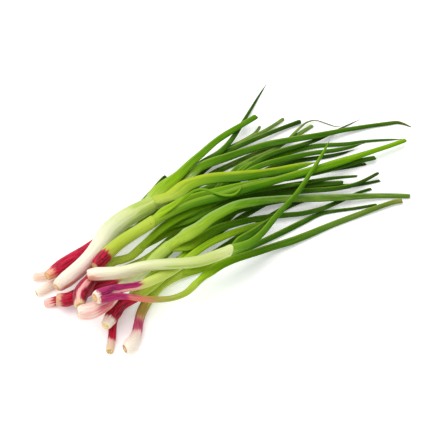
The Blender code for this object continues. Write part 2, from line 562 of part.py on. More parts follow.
def solid(name, rings, tint, collection):
    """A closed solid lofted through rings of points, with flat ends."""
    mesh = bpy.data.meshes.new(name)
    sides = len(rings[0])
    verts = [tuple(point * MM) for ring in rings for point in ring]
    faces = []
    for r in range(len(rings) - 1):
        for k in range(sides):
            n = (k + 1) % sides
            faces.append((r * sides + k, r * sides + n, (r + 1) * sides + n, (r + 1) * sides + k))
    faces.append(tuple(range(sides))[::-1])
    faces.append(tuple((len(rings) - 1) * sides + k for k in range(sides)))
    mesh.from_pydata(verts, [], faces)
    work = bmesh.new()
    work.from_mesh(mesh)
    bmesh.ops.recalc_face_normals(work, faces=work.faces)
    work.to_mesh(mesh)
    work.free()
    material = bpy.data.materials.new(name)
    material.use_nodes = True
    shader = material.node_tree.nodes["Principled BSDF"]
    shader.inputs["Base Color"].default_value = (*tint, 1.0)
    shader.inputs["Roughness"].default_value = 0.5
    mesh.materials.append(material)
    thing = bpy.data.objects.new(name, mesh)
    collection.objects.link(thing)
    return thing


def shell_rings(piece, sides, hollow_end=False, root_plane=None):
    """The rings of a solid, kept clear of its root plane, with a short hollow where a leaf was cut."""
    axis, wide, high = piece
    kept = kept_rings(axis, wide, high)
    rings = list(ring_points(axis, wide, high, sides, 0.5)[kept])
    if root_plane is not None:
        place, onward = root_plane
        for ring in rings:
            short = np.maximum(-((ring - place) @ onward), 0.0)
            ring += short[:, None] * onward
    for ring in rings:
        ring[:, 2] = np.maximum(ring[:, 2], 0.0)
    if hollow_end:
        inward = axis[-2] - axis[-1]
        inward /= np.linalg.norm(inward)
        middle = rings[-1].mean(0)
        narrow = (wide[-1] - CUT_WALL) / wide[-1]
        low = (high[-1] - CUT_WALL) / high[-1]
        share = max(LEAST_HOLLOW, min(narrow, low))
        lip = middle + (rings[-1] - middle) * share
        rings += [lip, lip + inward * CUT_DEPTH]
    return rings


def build():
    """Lay the plants and make their solids."""
    for thing in list(bpy.data.objects):
        bpy.data.objects.remove(thing, do_unlink=True)
    collection = bpy.data.collections.new(OBJECT_NAME)
    bpy.context.scene.collection.children.link(collection)
    heap = Heap()
    pieces = []
    for plant, routes in PLANTS.items():
        shank = lay_shank(heap, routes["shank"])
        laid = lay_leaves(heap, shank, routes["leaves"])
        heap.add(*shank)
        pieces.append((plant + "_shank", shell_rings(shank, SHANK_SIDES), SHANK_TINTS[plant]))
        for number, (end, piece, root_plane) in enumerate(laid):
            tint = LEAF_TINTS[number % len(LEAF_TINTS)]
            name = f"{plant}_leaf_{number + 1}"
            pieces.append((name, shell_rings(piece, LEAF_SIDES, end == "cut", root_plane), tint))
    every = np.concatenate([np.concatenate(rings) for name, rings, tint in pieces])
    low = every.min(0)
    high = every.max(0)
    middle = np.array((0.5 * (low[0] + high[0]), 0.5 * (low[1] + high[1]), low[2]))
    for name, rings, tint in sorted(pieces, key=lambda entry: entry[0]):
        solid(name, [ring - middle for ring in rings], tint, collection)


build()
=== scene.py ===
"""A loose bunch of red and white spring onions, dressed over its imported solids.

Every stem and every leaf is lofted afresh along the line its solid follows, with
its own section, collar, cut or withered tip, root plate and colouring.
"""

import math

import bmesh
import bpy
import numpy as np
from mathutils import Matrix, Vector


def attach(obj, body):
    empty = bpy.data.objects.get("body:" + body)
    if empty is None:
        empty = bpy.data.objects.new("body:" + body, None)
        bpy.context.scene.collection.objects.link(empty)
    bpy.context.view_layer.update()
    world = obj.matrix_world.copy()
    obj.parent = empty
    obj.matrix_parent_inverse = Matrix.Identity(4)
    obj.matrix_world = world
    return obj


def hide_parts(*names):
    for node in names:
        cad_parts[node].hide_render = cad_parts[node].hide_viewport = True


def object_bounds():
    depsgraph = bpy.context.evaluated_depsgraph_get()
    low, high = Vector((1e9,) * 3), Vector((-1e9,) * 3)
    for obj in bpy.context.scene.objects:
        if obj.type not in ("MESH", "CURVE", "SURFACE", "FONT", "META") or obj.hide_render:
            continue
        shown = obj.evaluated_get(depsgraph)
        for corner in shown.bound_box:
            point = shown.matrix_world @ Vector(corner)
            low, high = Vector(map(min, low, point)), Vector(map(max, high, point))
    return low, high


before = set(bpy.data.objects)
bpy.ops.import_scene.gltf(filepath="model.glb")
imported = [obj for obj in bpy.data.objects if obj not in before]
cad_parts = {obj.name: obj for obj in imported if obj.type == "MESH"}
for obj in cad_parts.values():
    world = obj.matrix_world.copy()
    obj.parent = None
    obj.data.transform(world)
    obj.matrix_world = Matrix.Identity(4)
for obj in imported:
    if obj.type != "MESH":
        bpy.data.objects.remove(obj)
cad_low, cad_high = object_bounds()

MM = 0.001
TURN = 2 * math.pi
GOLDEN_TURN = 2.39996

# The solids' sections, and how finely the pieces are lofted
SHANK_SIDES = 12
LEAF_SIDES = 8
SHANK_ROUND = 48
LEAF_ROUND = 36
SHANK_STEP = 0.9
LEAF_STEP = 1.3
LEAST_RINGS = 8
SMOOTHING = np.array((0.25, 0.5, 0.25))
BOX_LOW, BOX_HIGH = np.array(cad_low) / MM, np.array(cad_high) / MM
# How near two points are merged, in metres, and how alike the normals of one flat face are
MERGE = 1.0e-6
FLAT = 0.99999

# A leaf's root: how far an inner leaf keeps to its side of the neck, how much of the neck a leaf fills, and
# how much of the leaf the root may take
INNER_ASIDE = 0.45
OUTER_FILL = 0.975
INNER_FILL = 0.62
LONGEST_ROOT = 0.4
# Where a leaf may be made broader, in millimetres from its root and from its tip
BROAD_BASE = (25.0, 75.0)
BROAD_END = (-40.0, -12.0)
# Over what stretch from the root a leaf's fold and groove come in, and over what stretch its tip thins
FOLD_FROM_ROOT = (6.0, 30.0)
TIP_STRETCH = (-1.0, 14.0)
# A cut leaf narrows over this many millimetres, by this share
CUT_LENGTH = 2.5
CUT_NARROW = 0.22
# The inner wall of a cut leaf's end: (rings back from the end, share of the wall's thickness)
HOLLOW_RINGS = ((0, 0.5), (0, 1.0), (1, 1.0), (3, 1.0), (5, 1.0))

# The root plate: (share of its size, depth in millimetres, how much it counts as plate)
PLATE_RINGS = ((0.25, 0.6, 1.0), (0.5, 0.58, 1.0), (0.75, 0.54, 1.0), (0.9, 0.46, 0.9), (0.97, 0.4, 0.65),
               (1.0, 0.4, 0.55))
# The collar: (share of its length, how far it stands off, how much it counts as inside)
COLLAR_RINGS = ((0.3, 0.5, 0.0), (0.6, 0.9, 0.0), (0.85, 1.0, 0.0), (0.96, 0.9, 0.1), (1.0, 0.6, 0.3),
                (0.99, 0.0, 0.8), (0.8, -0.8, 1.0), (0.4, -1.2, 1.0), (0.1, -1.2, 1.0))
# How deep a peeled patch lies in the sheath, in millimetres
PEEL_DEPTH = 0.22
# How uneven the skins are: ripples and ribs round a piece, and depths in shares of its width
LEAF_RIPPLES, RIPPLE_DEPTH = 7, 0.012
STEM_RIBS, RIB_DEPTH = 13, 0.006
LOBE_DEPTH = 0.015
LEAF_UNEVEN = 0.02
# How softly a blot starts and ends, in shares of the length on each side
BLOT_START = 0.06
BLOT_END = 0.09
# The root stubs, in millimetres where they are lengths; their two ends are shares of their radius
STUB_SIDES = 6
STUB_SPREAD = 0.85
STUB_DEPTH = 1.15
STUB_THICK = (0.26, 0.44)
STUB_TALL = (0.7, 1.0)
STUB_LEAN = 0.15
STUB_ENDS = (1.15, 0.8)

# Where the eye stands, and the middle of the view, in millimetres
EYE = np.array((-393.93, -557.51, 579.06))
AIM = np.array((-25.06, -30.70, 0.0))
LENS = 85.0
SENSOR = 36.0
TOWARDS_EYE = (EYE - AIM) / np.linalg.norm(EYE - AIM)


def tone(red, green, blue):
    """A colour as it is seen on screen, 0 to 255, as linear light."""
    seen = np.array((red, green, blue)) / 255.0
    linear = np.where(seen <= 0.04045, seen / 12.92, ((seen + 0.055) / 1.055) ** 2.4)
    return tuple(float(value) for value in linear)


CREAM = tone(252, 240, 228)
BLUSH = tone(248, 218, 206)
STEM_WHITE = tone(243, 242, 212)
STEM_PALE = tone(234, 240, 182)
STEM_GREEN = tone(212, 224, 120)
STEM_LIME = tone(186, 206, 60)
LEAF_LIME = tone(168, 200, 24)
LEAF_BRIGHT = tone(134, 182, 4)
LEAF_GREEN = tone(96, 148, 4)
LEAF_MID = tone(72, 120, 6)
LEAF_DEEP = tone(54, 94, 8)
LEAF_DARK = tone(40, 70, 8)
LEAF_GREY = tone(104, 134, 52)
LEAF_DUST = tone(124, 146, 84)
OLIVE = tone(150, 152, 62)
OLIVE_DARK = tone(96, 100, 38)
STRAW = tone(176, 164, 98)
TAN = tone(206, 160, 106)
TAN_DARK = tone(142, 94, 52)
CRIMSON = tone(196, 4, 50)
CRIMSON_DARK = tone(96, 4, 16)
MAGENTA = tone(182, 36, 108)
PINK = tone(230, 132, 156)
SALMON = tone(206, 104, 84)


# ---------------------------------------------------------------- reading the solids
def merged(node):
    """A node's solid with its loose triangles merged."""
    work = bmesh.new()
    work.from_mesh(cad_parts[node].data)
    bmesh.ops.remove_doubles(work, verts=work.verts, dist=MERGE)
    work.faces.ensure_lookup_table()
    work.normal_update()
    return work


def flat_ends(work, sides):
    """The sets of points round every flat face with the given number of sides."""
    seen = set()
    for first in work.faces:
        if first.index in seen:
            continue
        seen.add(first.index)
        group = [first]
        open_faces = [first]
        while open_faces:
            for edge in open_faces.pop().edges:
                for other in edge.link_faces:
                    if other.index not in seen and other.normal.dot(first.normal) > FLAT:
                        seen.add(other.index)
                        group.append(other)
                        open_faces.append(other)
        points = {vert.index for face in group for vert in face.verts}
        if len(group) == sides - 2 and len(points) == sides:
            yield points


def layers_from(ring, near):
    """The points met one step after another on the way from a set of points."""
    used = set()
    layers = []
    while ring:
        layers.append(sorted(ring))
        used |= ring
        ring = {other for index in ring for other in near[index]} - used
    return layers


def rings_of(node, sides, start):
    """The rings of points a solid was lofted through, from its end nearest a place, in millimetres."""
    work = merged(node)
    points = np.array([vert.co[:] for vert in work.verts]) / MM
    near = {vert.index: [edge.other_vert(vert).index for edge in vert.link_edges] for vert in work.verts}
    ends = list(flat_ends(work, sides))
    work.free()
    if start is None:
        start = points[np.argmin(points[:, 0])]
    first = int(np.argmin(np.linalg.norm(points - start, axis=1)))
    for last in layers_from({first}, near)[-1]:
        ends.append(set(np.argsort(np.linalg.norm(points - points[last], axis=1))[:sides].tolist()))
    for end in ends:
        layers = layers_from(end, near)
        if all(len(layer) == sides for layer in layers):
            rings = [points[layer] for layer in layers]
            away = [np.linalg.norm(ring.mean(0) - start) for ring in (rings[0], rings[-1])]
            return rings if away[0] < away[1] else rings[::-1]
    raise ValueError(f"{node} is not a row of rings")


def ring_normal(ring, middle, guess):
    """The direction square to a ring, on the side of a guess."""
    spread = (ring - middle).T @ (ring - middle)
    normal = np.linalg.eigh(spread)[1][:, 0]
    return normal * np.sign(normal @ guess)


def section_frames(onward):
    """Sideways and upward directions square to each onward direction."""
    side = np.cross((0.0, 0.0, 1.0), onward)
    side /= np.linalg.norm(side, axis=1)[:, None]
    return side, np.cross(onward, side)


def eased_curve(t, start, leaving, end, arriving):
    """A smooth curve from start to end that leaves and arrives in the given directions."""
    return ((2 * t ** 3 - 3 * t ** 2 + 1) * start + (t ** 3 - 2 * t ** 2 + t) * leaving
            + (3 * t ** 2 - 2 * t ** 3) * end + (t ** 3 - t ** 2) * arriving)


def unit_steps(centre):
    """The direction onward at every place of a row of points."""
    onward = np.gradient(centre, axis=0)
    return onward / np.linalg.norm(onward, axis=1)[:, None]


class Line:
    """The middle line of a piece, with its half width and half height at every place."""

    def __init__(self, centre, onward, wide, high):
        self.centre = centre
        self.onward = onward
        self.wide = wide
        self.high = high
        self.side, self.over = section_frames(onward)
        steps = np.linalg.norm(np.diff(centre, axis=0), axis=1)
        self.reach = np.concatenate(((0.0,), np.cumsum(steps)))
        self.length = float(self.reach[-1])

    def resampled(self, step):
        """The same line at even steps, curved smoothly between its places."""
        count = max(LEAST_RINGS, int(round(self.length / step)) + 1)
        even = np.linspace(0.0, self.length, count)
        index = np.clip(np.searchsorted(self.reach, even, "right") - 1, 0, len(self.reach) - 2)
        span = self.reach[index + 1] - self.reach[index]
        t = ((even - self.reach[index]) / span)[:, None]
        centre = eased_curve(t, self.centre[index], self.onward[index] * span[:, None],
                             self.centre[index + 1], self.onward[index + 1] * span[:, None])
        sizes = []
        for values in (self.wide, self.high):
            plain = np.interp(even, self.reach, values)
            for _ in range(2):
                plain[1:-1] = np.convolve(plain, SMOOTHING, "valid")
            sizes.append(plain)
        return Line(centre, unit_steps(centre), *sizes)


def line_of(node, sides, start=None):
    """The middle line of a node's solid, and whether its far end is hollow."""
    rings = rings_of(node, sides, start)
    middles = np.array([ring.mean(0) for ring in rings])
    hollow = len(rings) > 4 and (middles[-1] - middles[-2]) @ (middles[-3] - middles[-4]) < 0
    if hollow:
        rings = rings[:-2]
        middles = middles[:-2]
    guesses = np.gradient(middles, axis=0)
    onward = np.array([ring_normal(*entry) for entry in zip(rings, middles, guesses)])
    side, over = section_frames(onward)
    reach = math.cos(math.pi / sides)
    wide = [np.abs((ring - middle) @ a).max() / reach for ring, middle, a in zip(rings, middles, side)]
    high = [np.abs((ring - middle) @ b).max() / reach for ring, middle, b in zip(rings, middles, over)]
    return Line(middles, onward, np.array(wide), np.array(high)), hollow


# ---------------------------------------------------------------- making pieces
def smooth_step(low, high, value):
    """0 below low, 1 above high, and a smooth rise between."""
    t = np.clip((value - low) / (high - low), 0.0, 1.0)
    return t * t * (3 - 2 * t)


def wander(rng, count, spread):
    """A slow random curve about zero."""
    knots = max(4, int(count / spread) + 3)
    values = rng.normal(0.0, 1.0, knots)
    place = np.linspace(1.0, knots - 2.001, count)
    index = place.astype(int)
    t = smooth_step(0.0, 1.0, place - index)
    return values[index] * (1 - t) + values[index + 1] * t


def new_object(name, data):
    """An object put into the scene."""
    thing = bpy.data.objects.new(name, data)
    bpy.context.scene.collection.objects.link(thing)
    return thing


def facing(direction, axis="-Z"):
    """The turn that points an axis in a direction."""
    return Vector(direction).to_track_quat(axis, "Y").to_euler()


def piece_from(name, skin, material, node):
    """A finished, smooth shaded piece that rides on the bunch in its node's place."""
    verts, faces, marks = skin.closed()
    marks["grain"] = np.stack((marks.pop("gx"), marks.pop("gy"), marks["reach"]), -1)
    mesh = bpy.data.meshes.new(name)
    mesh.from_pydata((verts * MM).tolist(), [], faces)
    for key, values in marks.items():
        values = np.asarray(values, float)
        kind = "FLOAT" if values.ndim == 1 else "FLOAT_VECTOR"
        layer = mesh.attributes.new(key, kind, "POINT")
        layer.data.foreach_set("value" if values.ndim == 1 else "vector", values.ravel().astype(np.float32))
    mesh.materials.append(material)
    mesh.shade_smooth()
    thing = new_object(name, mesh)
    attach(thing, "root")
    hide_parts(node)


class Skin:
    """Rings of points gathered into one closed surface."""

    def __init__(self, around):
        self.around = around
        self.angle = np.arange(around) * TURN / around
        self.rings = []
        self.marks = []

    def add(self, ring, **marks):
        """Takes one ring, with a value or one value a point for each mark."""
        self.rings.append(ring)
        self.marks.append({key: np.broadcast_to(value, self.around) for key, value in marks.items()})

    def closed(self):
        """Points, faces and marks, with a pole at each end."""
        count = len(self.rings)
        m = self.around
        verts = np.concatenate(self.rings + [self.rings[0].mean(0)[None], self.rings[-1].mean(0)[None]])
        k = np.arange(m)
        n = (k + 1) % m
        faces = []
        for r in range(count - 1):
            faces += np.stack((r * m + k, r * m + n, (r + 1) * m + n, (r + 1) * m + k), 1).tolist()
        first, last = count * m, count * m + 1
        faces += np.stack((np.full(m, first), n, k), 1).tolist()
        faces += np.stack((np.full(m, last), (count - 1) * m + k, (count - 1) * m + n), 1).tolist()
        marks = {}
        for key in self.marks[0]:
            values = [mark[key] for mark in self.marks]
            marks[key] = np.concatenate(values + [[values[0].mean()], [values[-1].mean()]])
        return verts, faces, marks


def place(line, index, a, b, ahead=0.0):
    """Points at offsets a sideways and b upwards from one place of a line, moved ahead along it."""
    ring = (line.centre[index] + np.multiply.outer(a, line.side[index])
            + np.multiply.outer(b, line.over[index]) + np.multiply.outer(ahead + 0 * a, line.onward[index]))
    return np.clip(ring, BOX_LOW, BOX_HIGH)


def leaf_section(angle, ridge, roof, groove, groove_at, belly):
    """A leaf's section inside the unit circle: rounded or roofed above, flatter below, with a groove."""
    x = np.cos(angle)
    round_half = np.sqrt(np.maximum(1 - x * x, 0.0))
    slope = np.where(x > ridge, (x - ridge) / (1 - ridge), (ridge - x) / (1 + ridge))
    roofed = np.maximum(1 - slope, 0.0) ** 0.9 * math.sqrt(1 - ridge * ridge)
    top = (1 - roof) * round_half + roof * roofed
    top = top * (1 - groove * np.exp(-((x - groove_at) / 0.2) ** 2))
    under = belly * round_half
    return x, np.where(np.sin(angle) >= 0, top, -under)


def across_seen(line):
    """At every place of a line, the direction across it that the eye sees as up."""
    across = np.cross(TOWARDS_EYE, line.onward)
    return across / np.linalg.norm(across, axis=1)[:, None]


def lateral_of(ring, middle, across):
    """Where each point of a ring lies across the piece, from -1 at its lower edge to 1 at its upper one."""
    value = (ring - middle) @ across
    return value / max(np.abs(value).max(), 1e-6)


def eased_root(line, shank, outer, spread):
    """A leaf's line that leaves the neck in one smooth curve; the outer leaf starts as wide as the neck."""
    last = int(np.searchsorted(line.reach, spread))
    stack = line.centre[0] - shank.centre[-1]
    stack -= (stack @ shank.onward[-1]) * shank.onward[-1]
    start = shank.centre[-1] + stack * (0.0 if outer else INNER_ASIDE)
    reach = np.linalg.norm(line.centre[last] - start)
    t = np.linspace(0.0, 1.0, last + 1)[:, None]
    centre = line.centre.copy()
    centre[:last + 1] = eased_curve(t, start, reach * shank.onward[-1],
                                    centre[last], reach * line.onward[last])
    share = 1 - smooth_step(0.0, 1.0, np.arange(len(centre)) / last)
    fill = OUTER_FILL if outer else INNER_FILL
    wide = line.wide + share * (fill * shank.wide[-1] - line.wide)
    high = line.high + share * (fill * shank.high[-1] - line.high)
    return Line(centre, unit_steps(centre), wide, high)


def make_leaf(name, node, shank, look, material):
    """One leaf over its node, from its root in the collar to its tip."""
    rng = np.random.default_rng(look["seed"])
    rough, hollow = line_of(node, LEAF_SIDES, shank.centre[-1])
    line = rough.resampled(LEAF_STEP)
    count = len(line.reach)
    broader = 1 + (look["base_wide"] - 1) * (1 - smooth_step(*BROAD_BASE, line.reach))
    broader = broader * (1 + (look["end_wide"] - 1) * smooth_step(*BROAD_END, line.reach - line.length))
    line.wide = line.wide * broader
    line = eased_root(line, shank, look["outer"], min(look["spread"], LONGEST_ROOT * line.length))
    along = line.reach / line.length
    skin = Skin(LEAF_ROUND)
    angle = skin.angle
    rolled = look["roll"] * (along - 0.5)
    ridge = np.clip(look["ridge"] + rolled + 0.1 * wander(rng, count, 26), -0.7, 0.7)
    groove_at = np.clip(look["groove_at"] + 0.12 * wander(rng, count, 30), -0.75, 0.75)
    grown = smooth_step(*FOLD_FROM_ROOT, line.reach)
    roof = look["roof"] * grown
    groove = look["groove"] * grown * (0.8 + 0.2 * wander(rng, count, 20))
    belly = 1 - (1 - look["belly"]) * grown
    slim = 1 - LEAF_UNEVEN * grown * (1 + wander(rng, count, 14).clip(-1, 1))
    flute = rng.uniform(0, TURN)
    left = line.length - line.reach
    if hollow:
        slim = slim * (1 - CUT_NARROW * (1 - np.clip(left / CUT_LENGTH, 0, 1)) ** 2)
    else:
        slim = slim * (look["tip"] + (1 - look["tip"]) * smooth_step(*TIP_STRETCH, left))
    wilt = look["wilt"]
    dry = smooth_step(0.0, 1.0, 1 - left / wilt) if wilt else np.zeros(count)
    across = across_seen(line)
    patches = np.zeros((count, LEAF_ROUND))

    def add(i, a, b, ahead=0.0, inside=0.0, reach=None):
        ring = place(line, i, a, b, ahead)
        lateral = lateral_of(ring, line.centre[i], across[i])
        for strength, *span in look["pale"]:
            patches[i] = np.maximum(patches[i], strength * blot_at(along[i], lateral, *span))
        grain = max(line.wide[i], 2.0)
        # edge marks the upper side as the eye sees it, where a highlight is painted; shade marks the lower
        # side, where shade is painted
        skin.add(ring, along=along[i], reach=line.reach[i] if reach is None else reach,
                 edge=smooth_step(look["highlight_from"], look["highlight_from"] + 0.5, lateral),
                 shade=smooth_step(-0.1, 0.9, -lateral), pale=patches[i], inside=inside, dry=dry[i],
                 gx=grain * np.cos(angle), gy=grain * np.sin(angle))

    def section(i):
        return leaf_section(angle, ridge[i], roof[i], groove[i], groove_at[i], belly[i])

    slant = look["slant"] * (0.5 + 0.5 * np.cos(angle - flute))
    ragged = 0.12 * np.abs(np.convolve(rng.normal(0, 1, LEAF_ROUND), (0.3, 0.4, 0.3), "same"))
    for i in range(count):
        x, y = section(i)
        ripple = 1 - RIPPLE_DEPTH * (1 + np.cos(LEAF_RIPPLES * angle + flute + 0.01 * line.reach[i]))
        if not hollow:
            creased = 0.5 + 0.5 * np.sin(3 * angle + 0.5 * line.reach[i] + flute)
            ripple = ripple * (1 - look["shrivel"] * dry[i] * creased)
        cut = -(slant + ragged) if hollow and i == count - 1 else 0.0
        add(i, x * line.wide[i] * slim[i] * ripple, y * line.high[i] * slim[i] * ripple, cut)
    if hollow:
        for back, wall in HOLLOW_RINGS:
            i = count - 1 - back
            x, y = section(i)
            thick = wall * look["wall"]
            lip = wall < 1
            cut = 0.0 if back else -(slant + ragged) + (0.1 if lip else 0.0)
            a = x * max(line.wide[i] * slim[i] - thick, 0.2)
            b = y * max(line.high[i] * slim[i] - thick, 0.12)
            add(i, a, b, cut, 0.5 if lip else 1.0, line.length)
    piece_from(name, skin, material, node)


def blot_at(along, lateral, low, high, edge_low, edge_high, soft=0.35):
    """A mask at one share of the length, between two shares and two places across, as the eye sees them."""
    lengthwise = (smooth_step(low - BLOT_START, low + BLOT_START, along)
                  * (1 - smooth_step(high - BLOT_END, high + BLOT_END, along)))
    across = (smooth_step(edge_low - soft, edge_low + soft, lateral)
              * (1 - smooth_step(edge_high - soft, edge_high + soft, lateral)))
    return lengthwise * across


def blot(line, lateral, *span):
    """The same mask over a whole piece."""
    return np.array([blot_at(along, row, *span) for along, row in zip(line.reach / line.length, lateral)])


def make_stubs(name, line, look, rng):
    """The trimmed roots: short pegs standing in the dish of the root plate."""
    bpy.ops.object.select_all(action="DESELECT")
    pegs = []
    for number in range(look["stubs"]):
        far = STUB_SPREAD * math.sqrt((number + 0.5) / look["stubs"])
        heading = number * GOLDEN_TURN + rng.uniform(-0.3, 0.3)
        middle = (line.centre[0] + far * (line.wide[0] * math.cos(heading) * line.side[0]
                                          + line.high[0] * math.sin(heading) * line.over[0]))
        radius = rng.uniform(*STUB_THICK) * min(1.0, line.wide[0] / 2.6)
        tall = rng.uniform(*STUB_TALL)
        middle = middle + (STUB_DEPTH - tall / 2) * line.onward[0]
        middle[2] = max(middle[2], radius + 0.2)
        turn = facing(-line.onward[0], "Z")
        turn.x += rng.uniform(-STUB_LEAN, STUB_LEAN)
        turn.z += rng.uniform(-STUB_LEAN, STUB_LEAN)
        bpy.ops.mesh.primitive_cone_add(
            vertices=STUB_SIDES, radius1=radius * MM * STUB_ENDS[0], radius2=radius * MM * STUB_ENDS[1],
            depth=tall * MM, location=middle * MM, rotation=turn)
        pegs.append(bpy.context.object)
    for peg in pegs:
        peg.select_set(True)
    bpy.context.view_layer.objects.active = pegs[0]
    bpy.ops.object.join()
    bpy.ops.object.transform_apply(location=True, rotation=True, scale=True)
    thing = bpy.context.object
    thing.name = name
    thing.data.name = name
    thing.data.materials.append(STUB_SKIN)
    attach(thing, "root")
    thing.select_set(False)


def make_shank(name, node, look, material):
    """One stem over its node: root plate, bulb, sheath and the collar its leaves come out of."""
    rng = np.random.default_rng(look["seed"])
    line = line_of(node, SHANK_SIDES)[0].resampled(SHANK_STEP)
    count = len(line.reach)
    along = line.reach / line.length
    skin = Skin(SHANK_ROUND)
    angle = skin.angle
    across = across_seen(line)
    out = (np.cos(angle)[None, :, None] * line.side[:, None, :]
           + np.sin(angle)[None, :, None] * line.over[:, None, :])
    lateral = np.einsum("nmk,nk->nm", out, across)
    masks = {kind: np.zeros((count, SHANK_ROUND)) for kind in ("red", "warm", "green", "pink", "peel")}
    for kind, strength, *span in look["blots"]:
        masks[kind] = np.maximum(masks[kind], strength * blot(line, lateral, *span))
    masks["peel"] = smooth_step(0.35, 0.65, masks["peel"])
    phase = rng.uniform(0, TURN, 3)
    lobes = look["lobes"]

    def ring_sizes(i):
        swell = 1 - LOBE_DEPTH * (1 + np.cos(lobes * angle + phase[0] + 0.02 * line.reach[i]))
        swell = swell - RIB_DEPTH * (1 + np.cos(STEM_RIBS * angle + phase[1]))
        swell = swell - PEEL_DEPTH / line.wide[i] * masks["peel"][i]
        return np.cos(angle) * line.wide[i] * swell, np.sin(angle) * line.high[i] * swell

    def marks_at(i, root=0.0, inside=0.0):
        return dict(along=along[i], reach=line.reach[i], red=masks["red"][i], warm=masks["warm"][i],
                    green=masks["green"][i], pink=masks["pink"][i], root=root, inside=inside,
                    gx=line.wide[i] * np.cos(angle), gy=line.wide[i] * np.sin(angle))

    # root plate: a dished disc inside a low rim, then the rounded foot of the bulb
    bulb = float(line.wide[int(round(5.0 / SHANK_STEP))])
    foot = max(3, int(round(look["foot"] * bulb / SHANK_STEP)))
    plate = look["plate_size"]
    for i in range(foot):
        rise = math.sqrt(max(0.0, 1 - (1 - line.reach[i] / line.reach[foot]) ** 2))
        size = plate + (1 - plate) * rise
        line.wide[i] = line.wide[foot] * size
        line.high[i] = line.high[foot] * size
    a, b = ring_sizes(0)
    for share, depth, root in PLATE_RINGS:
        bumps = 1 + 0.05 * np.cos(5 * angle + phase[2]) * (share < 1)
        skin.add(place(line, 0, a * share * bumps, b * share * bumps, depth), **marks_at(0, root))
    a, b = ring_sizes(1)
    skin.add(place(line, 1, a * 0.94, b * 0.94, -0.35), **marks_at(1, 0.2))
    for i in range(1, count):
        a, b = ring_sizes(i)
        skin.add(place(line, i, a, b), **marks_at(i, 0.1 if i == 1 else 0.0))
    make_stubs(f"root_stubs_{name[-2:]}", line, look, rng)
    # collar: the sheath runs on past the neck as a thin slanting cup round the leaves
    end = count - 1
    a, b = ring_sizes(end)
    mouth = look["collar"] + look["collar_slant"] * np.cos(angle - look["collar_at"])
    rough = np.tile(rng.normal(0, 1, SHANK_ROUND), 3)
    rough = np.convolve(rough, SMOOTHING, "same")[SHANK_ROUND:-SHANK_ROUND]
    mouth = mouth + 0.25 * rough
    for share, out_by, inside in COLLAR_RINGS:
        out_by = out_by * look["collar_lift"]
        ring = place(line, end, a * (1 + out_by / line.wide[end]), b * (1 + out_by / line.high[end]),
                     mouth * share)
        skin.add(ring, **marks_at(end, 0.0, inside))
    piece_from(name, skin, material, node)
    return line


# ---------------------------------------------------------------- shader helpers
# The relief's height in metres, the range of noise that makes streaks, and what darkens the shaded parts
BUMP_HEIGHT = 0.0002
STREAK_RANGE = (0.3, 0.7)
LEAF_SHADOW = (0.42, 0.56, 0.25)
STEM_SHADOW = (0.72, 0.7, 0.5)
# How strongly the relief shows and how much each kind of skin shines
LEAF_RELIEF, STEM_RELIEF, STUB_RELIEF = 0.55, 0.5, 0.4
LEAF_GLOSS, STEM_GLOSS, STUB_GLOSS = 0.06, 0.22, 0.3
NUMBER, DIRECTION = "NodeSocketFloat", "NodeSocketVector"


def put(tree, kind, settings=(), **inputs):
    """Adds a node; each input is named or numbered (as i0, i1), and is a value or another node's output."""
    node = tree.nodes.new(kind)
    for key, value in dict(settings).items():
        setattr(node, key, value)
    for key, value in inputs.items():
        numbered = key[0] == "i" and key[1:].isdigit()
        socket = node.inputs[int(key[1:]) if numbered else key]
        if isinstance(value, bpy.types.NodeSocket):
            tree.links.new(value, socket)
        else:
            socket.default_value = value
    return node


def read(tree, name):
    """A vector stored on the piece."""
    return put(tree, "ShaderNodeAttribute", {"attribute_name": name}).outputs["Vector"]


def mark(tree, name):
    """A number stored on the piece."""
    return put(tree, "ShaderNodeAttribute", {"attribute_name": name}).outputs["Fac"]


def blend_colour(tree, share, first, second, kind="MIX"):
    """One colour laid over another."""
    first = (*first, 1.0) if isinstance(first, tuple) else first
    second = (*second, 1.0) if isinstance(second, tuple) else second
    settings = {"data_type": "RGBA", "blend_type": kind}
    return put(tree, "ShaderNodeMix", settings, i0=share, i6=first, i7=second).outputs[2]


def sums(tree, kind, first, second, clamp=False):
    """Arithmetic on two values."""
    settings = {"operation": kind, "use_clamp": clamp}
    return put(tree, "ShaderNodeMath", settings, i0=first, i1=second).outputs[0]


def times(tree, first, second, clamp=False):
    """The product of two values."""
    return sums(tree, "MULTIPLY", first, second, clamp)


def plus(tree, first, second, clamp=False):
    """The sum of two values."""
    return sums(tree, "ADD", first, second, clamp)


def without(tree, value):
    """What a share leaves of the whole."""
    return sums(tree, "SUBTRACT", 1.0, value)


def remap(tree, value, low, high, to_low=0.0, to_high=1.0):
    """A value moved smoothly from one range to another."""
    return put(tree, "ShaderNodeMapRange", {"interpolation_type": "SMOOTHSTEP"}, i0=value, i1=low, i2=high,
               i3=to_low, i4=to_high).outputs[0]


def ramp(tree, value, stops):
    """Colours along a value."""
    node = put(tree, "ShaderNodeValToRGB", i0=value)
    band = node.color_ramp
    band.interpolation = "B_SPLINE" if len(stops) > 3 else "EASE"
    while len(band.elements) < len(stops):
        band.elements.new(0.5)
    for element, stop in zip(band.elements, stops):
        element.position = stop[0]
    for element, stop in zip(band.elements, stops):
        element.color = (*stop[1], 1.0)
    return node.outputs[0]


def new_group(name, inputs, outputs):
    """An empty shader group with named sockets."""
    tree = bpy.data.node_groups.new(name, "ShaderNodeTree")
    for socket, kind, value in inputs:
        made = tree.interface.new_socket(socket, in_out="INPUT", socket_type=kind)
        if value is not None:
            made.default_value = value
    for socket, kind in outputs:
        tree.interface.new_socket(socket, in_out="OUTPUT", socket_type=kind)
    return tree, tree.nodes.new("NodeGroupInput"), tree.nodes.new("NodeGroupOutput")


def use(tree, group, **inputs):
    """A shared group placed in a material."""
    return put(tree, "ShaderNodeGroup", {"node_tree": group}, **inputs)


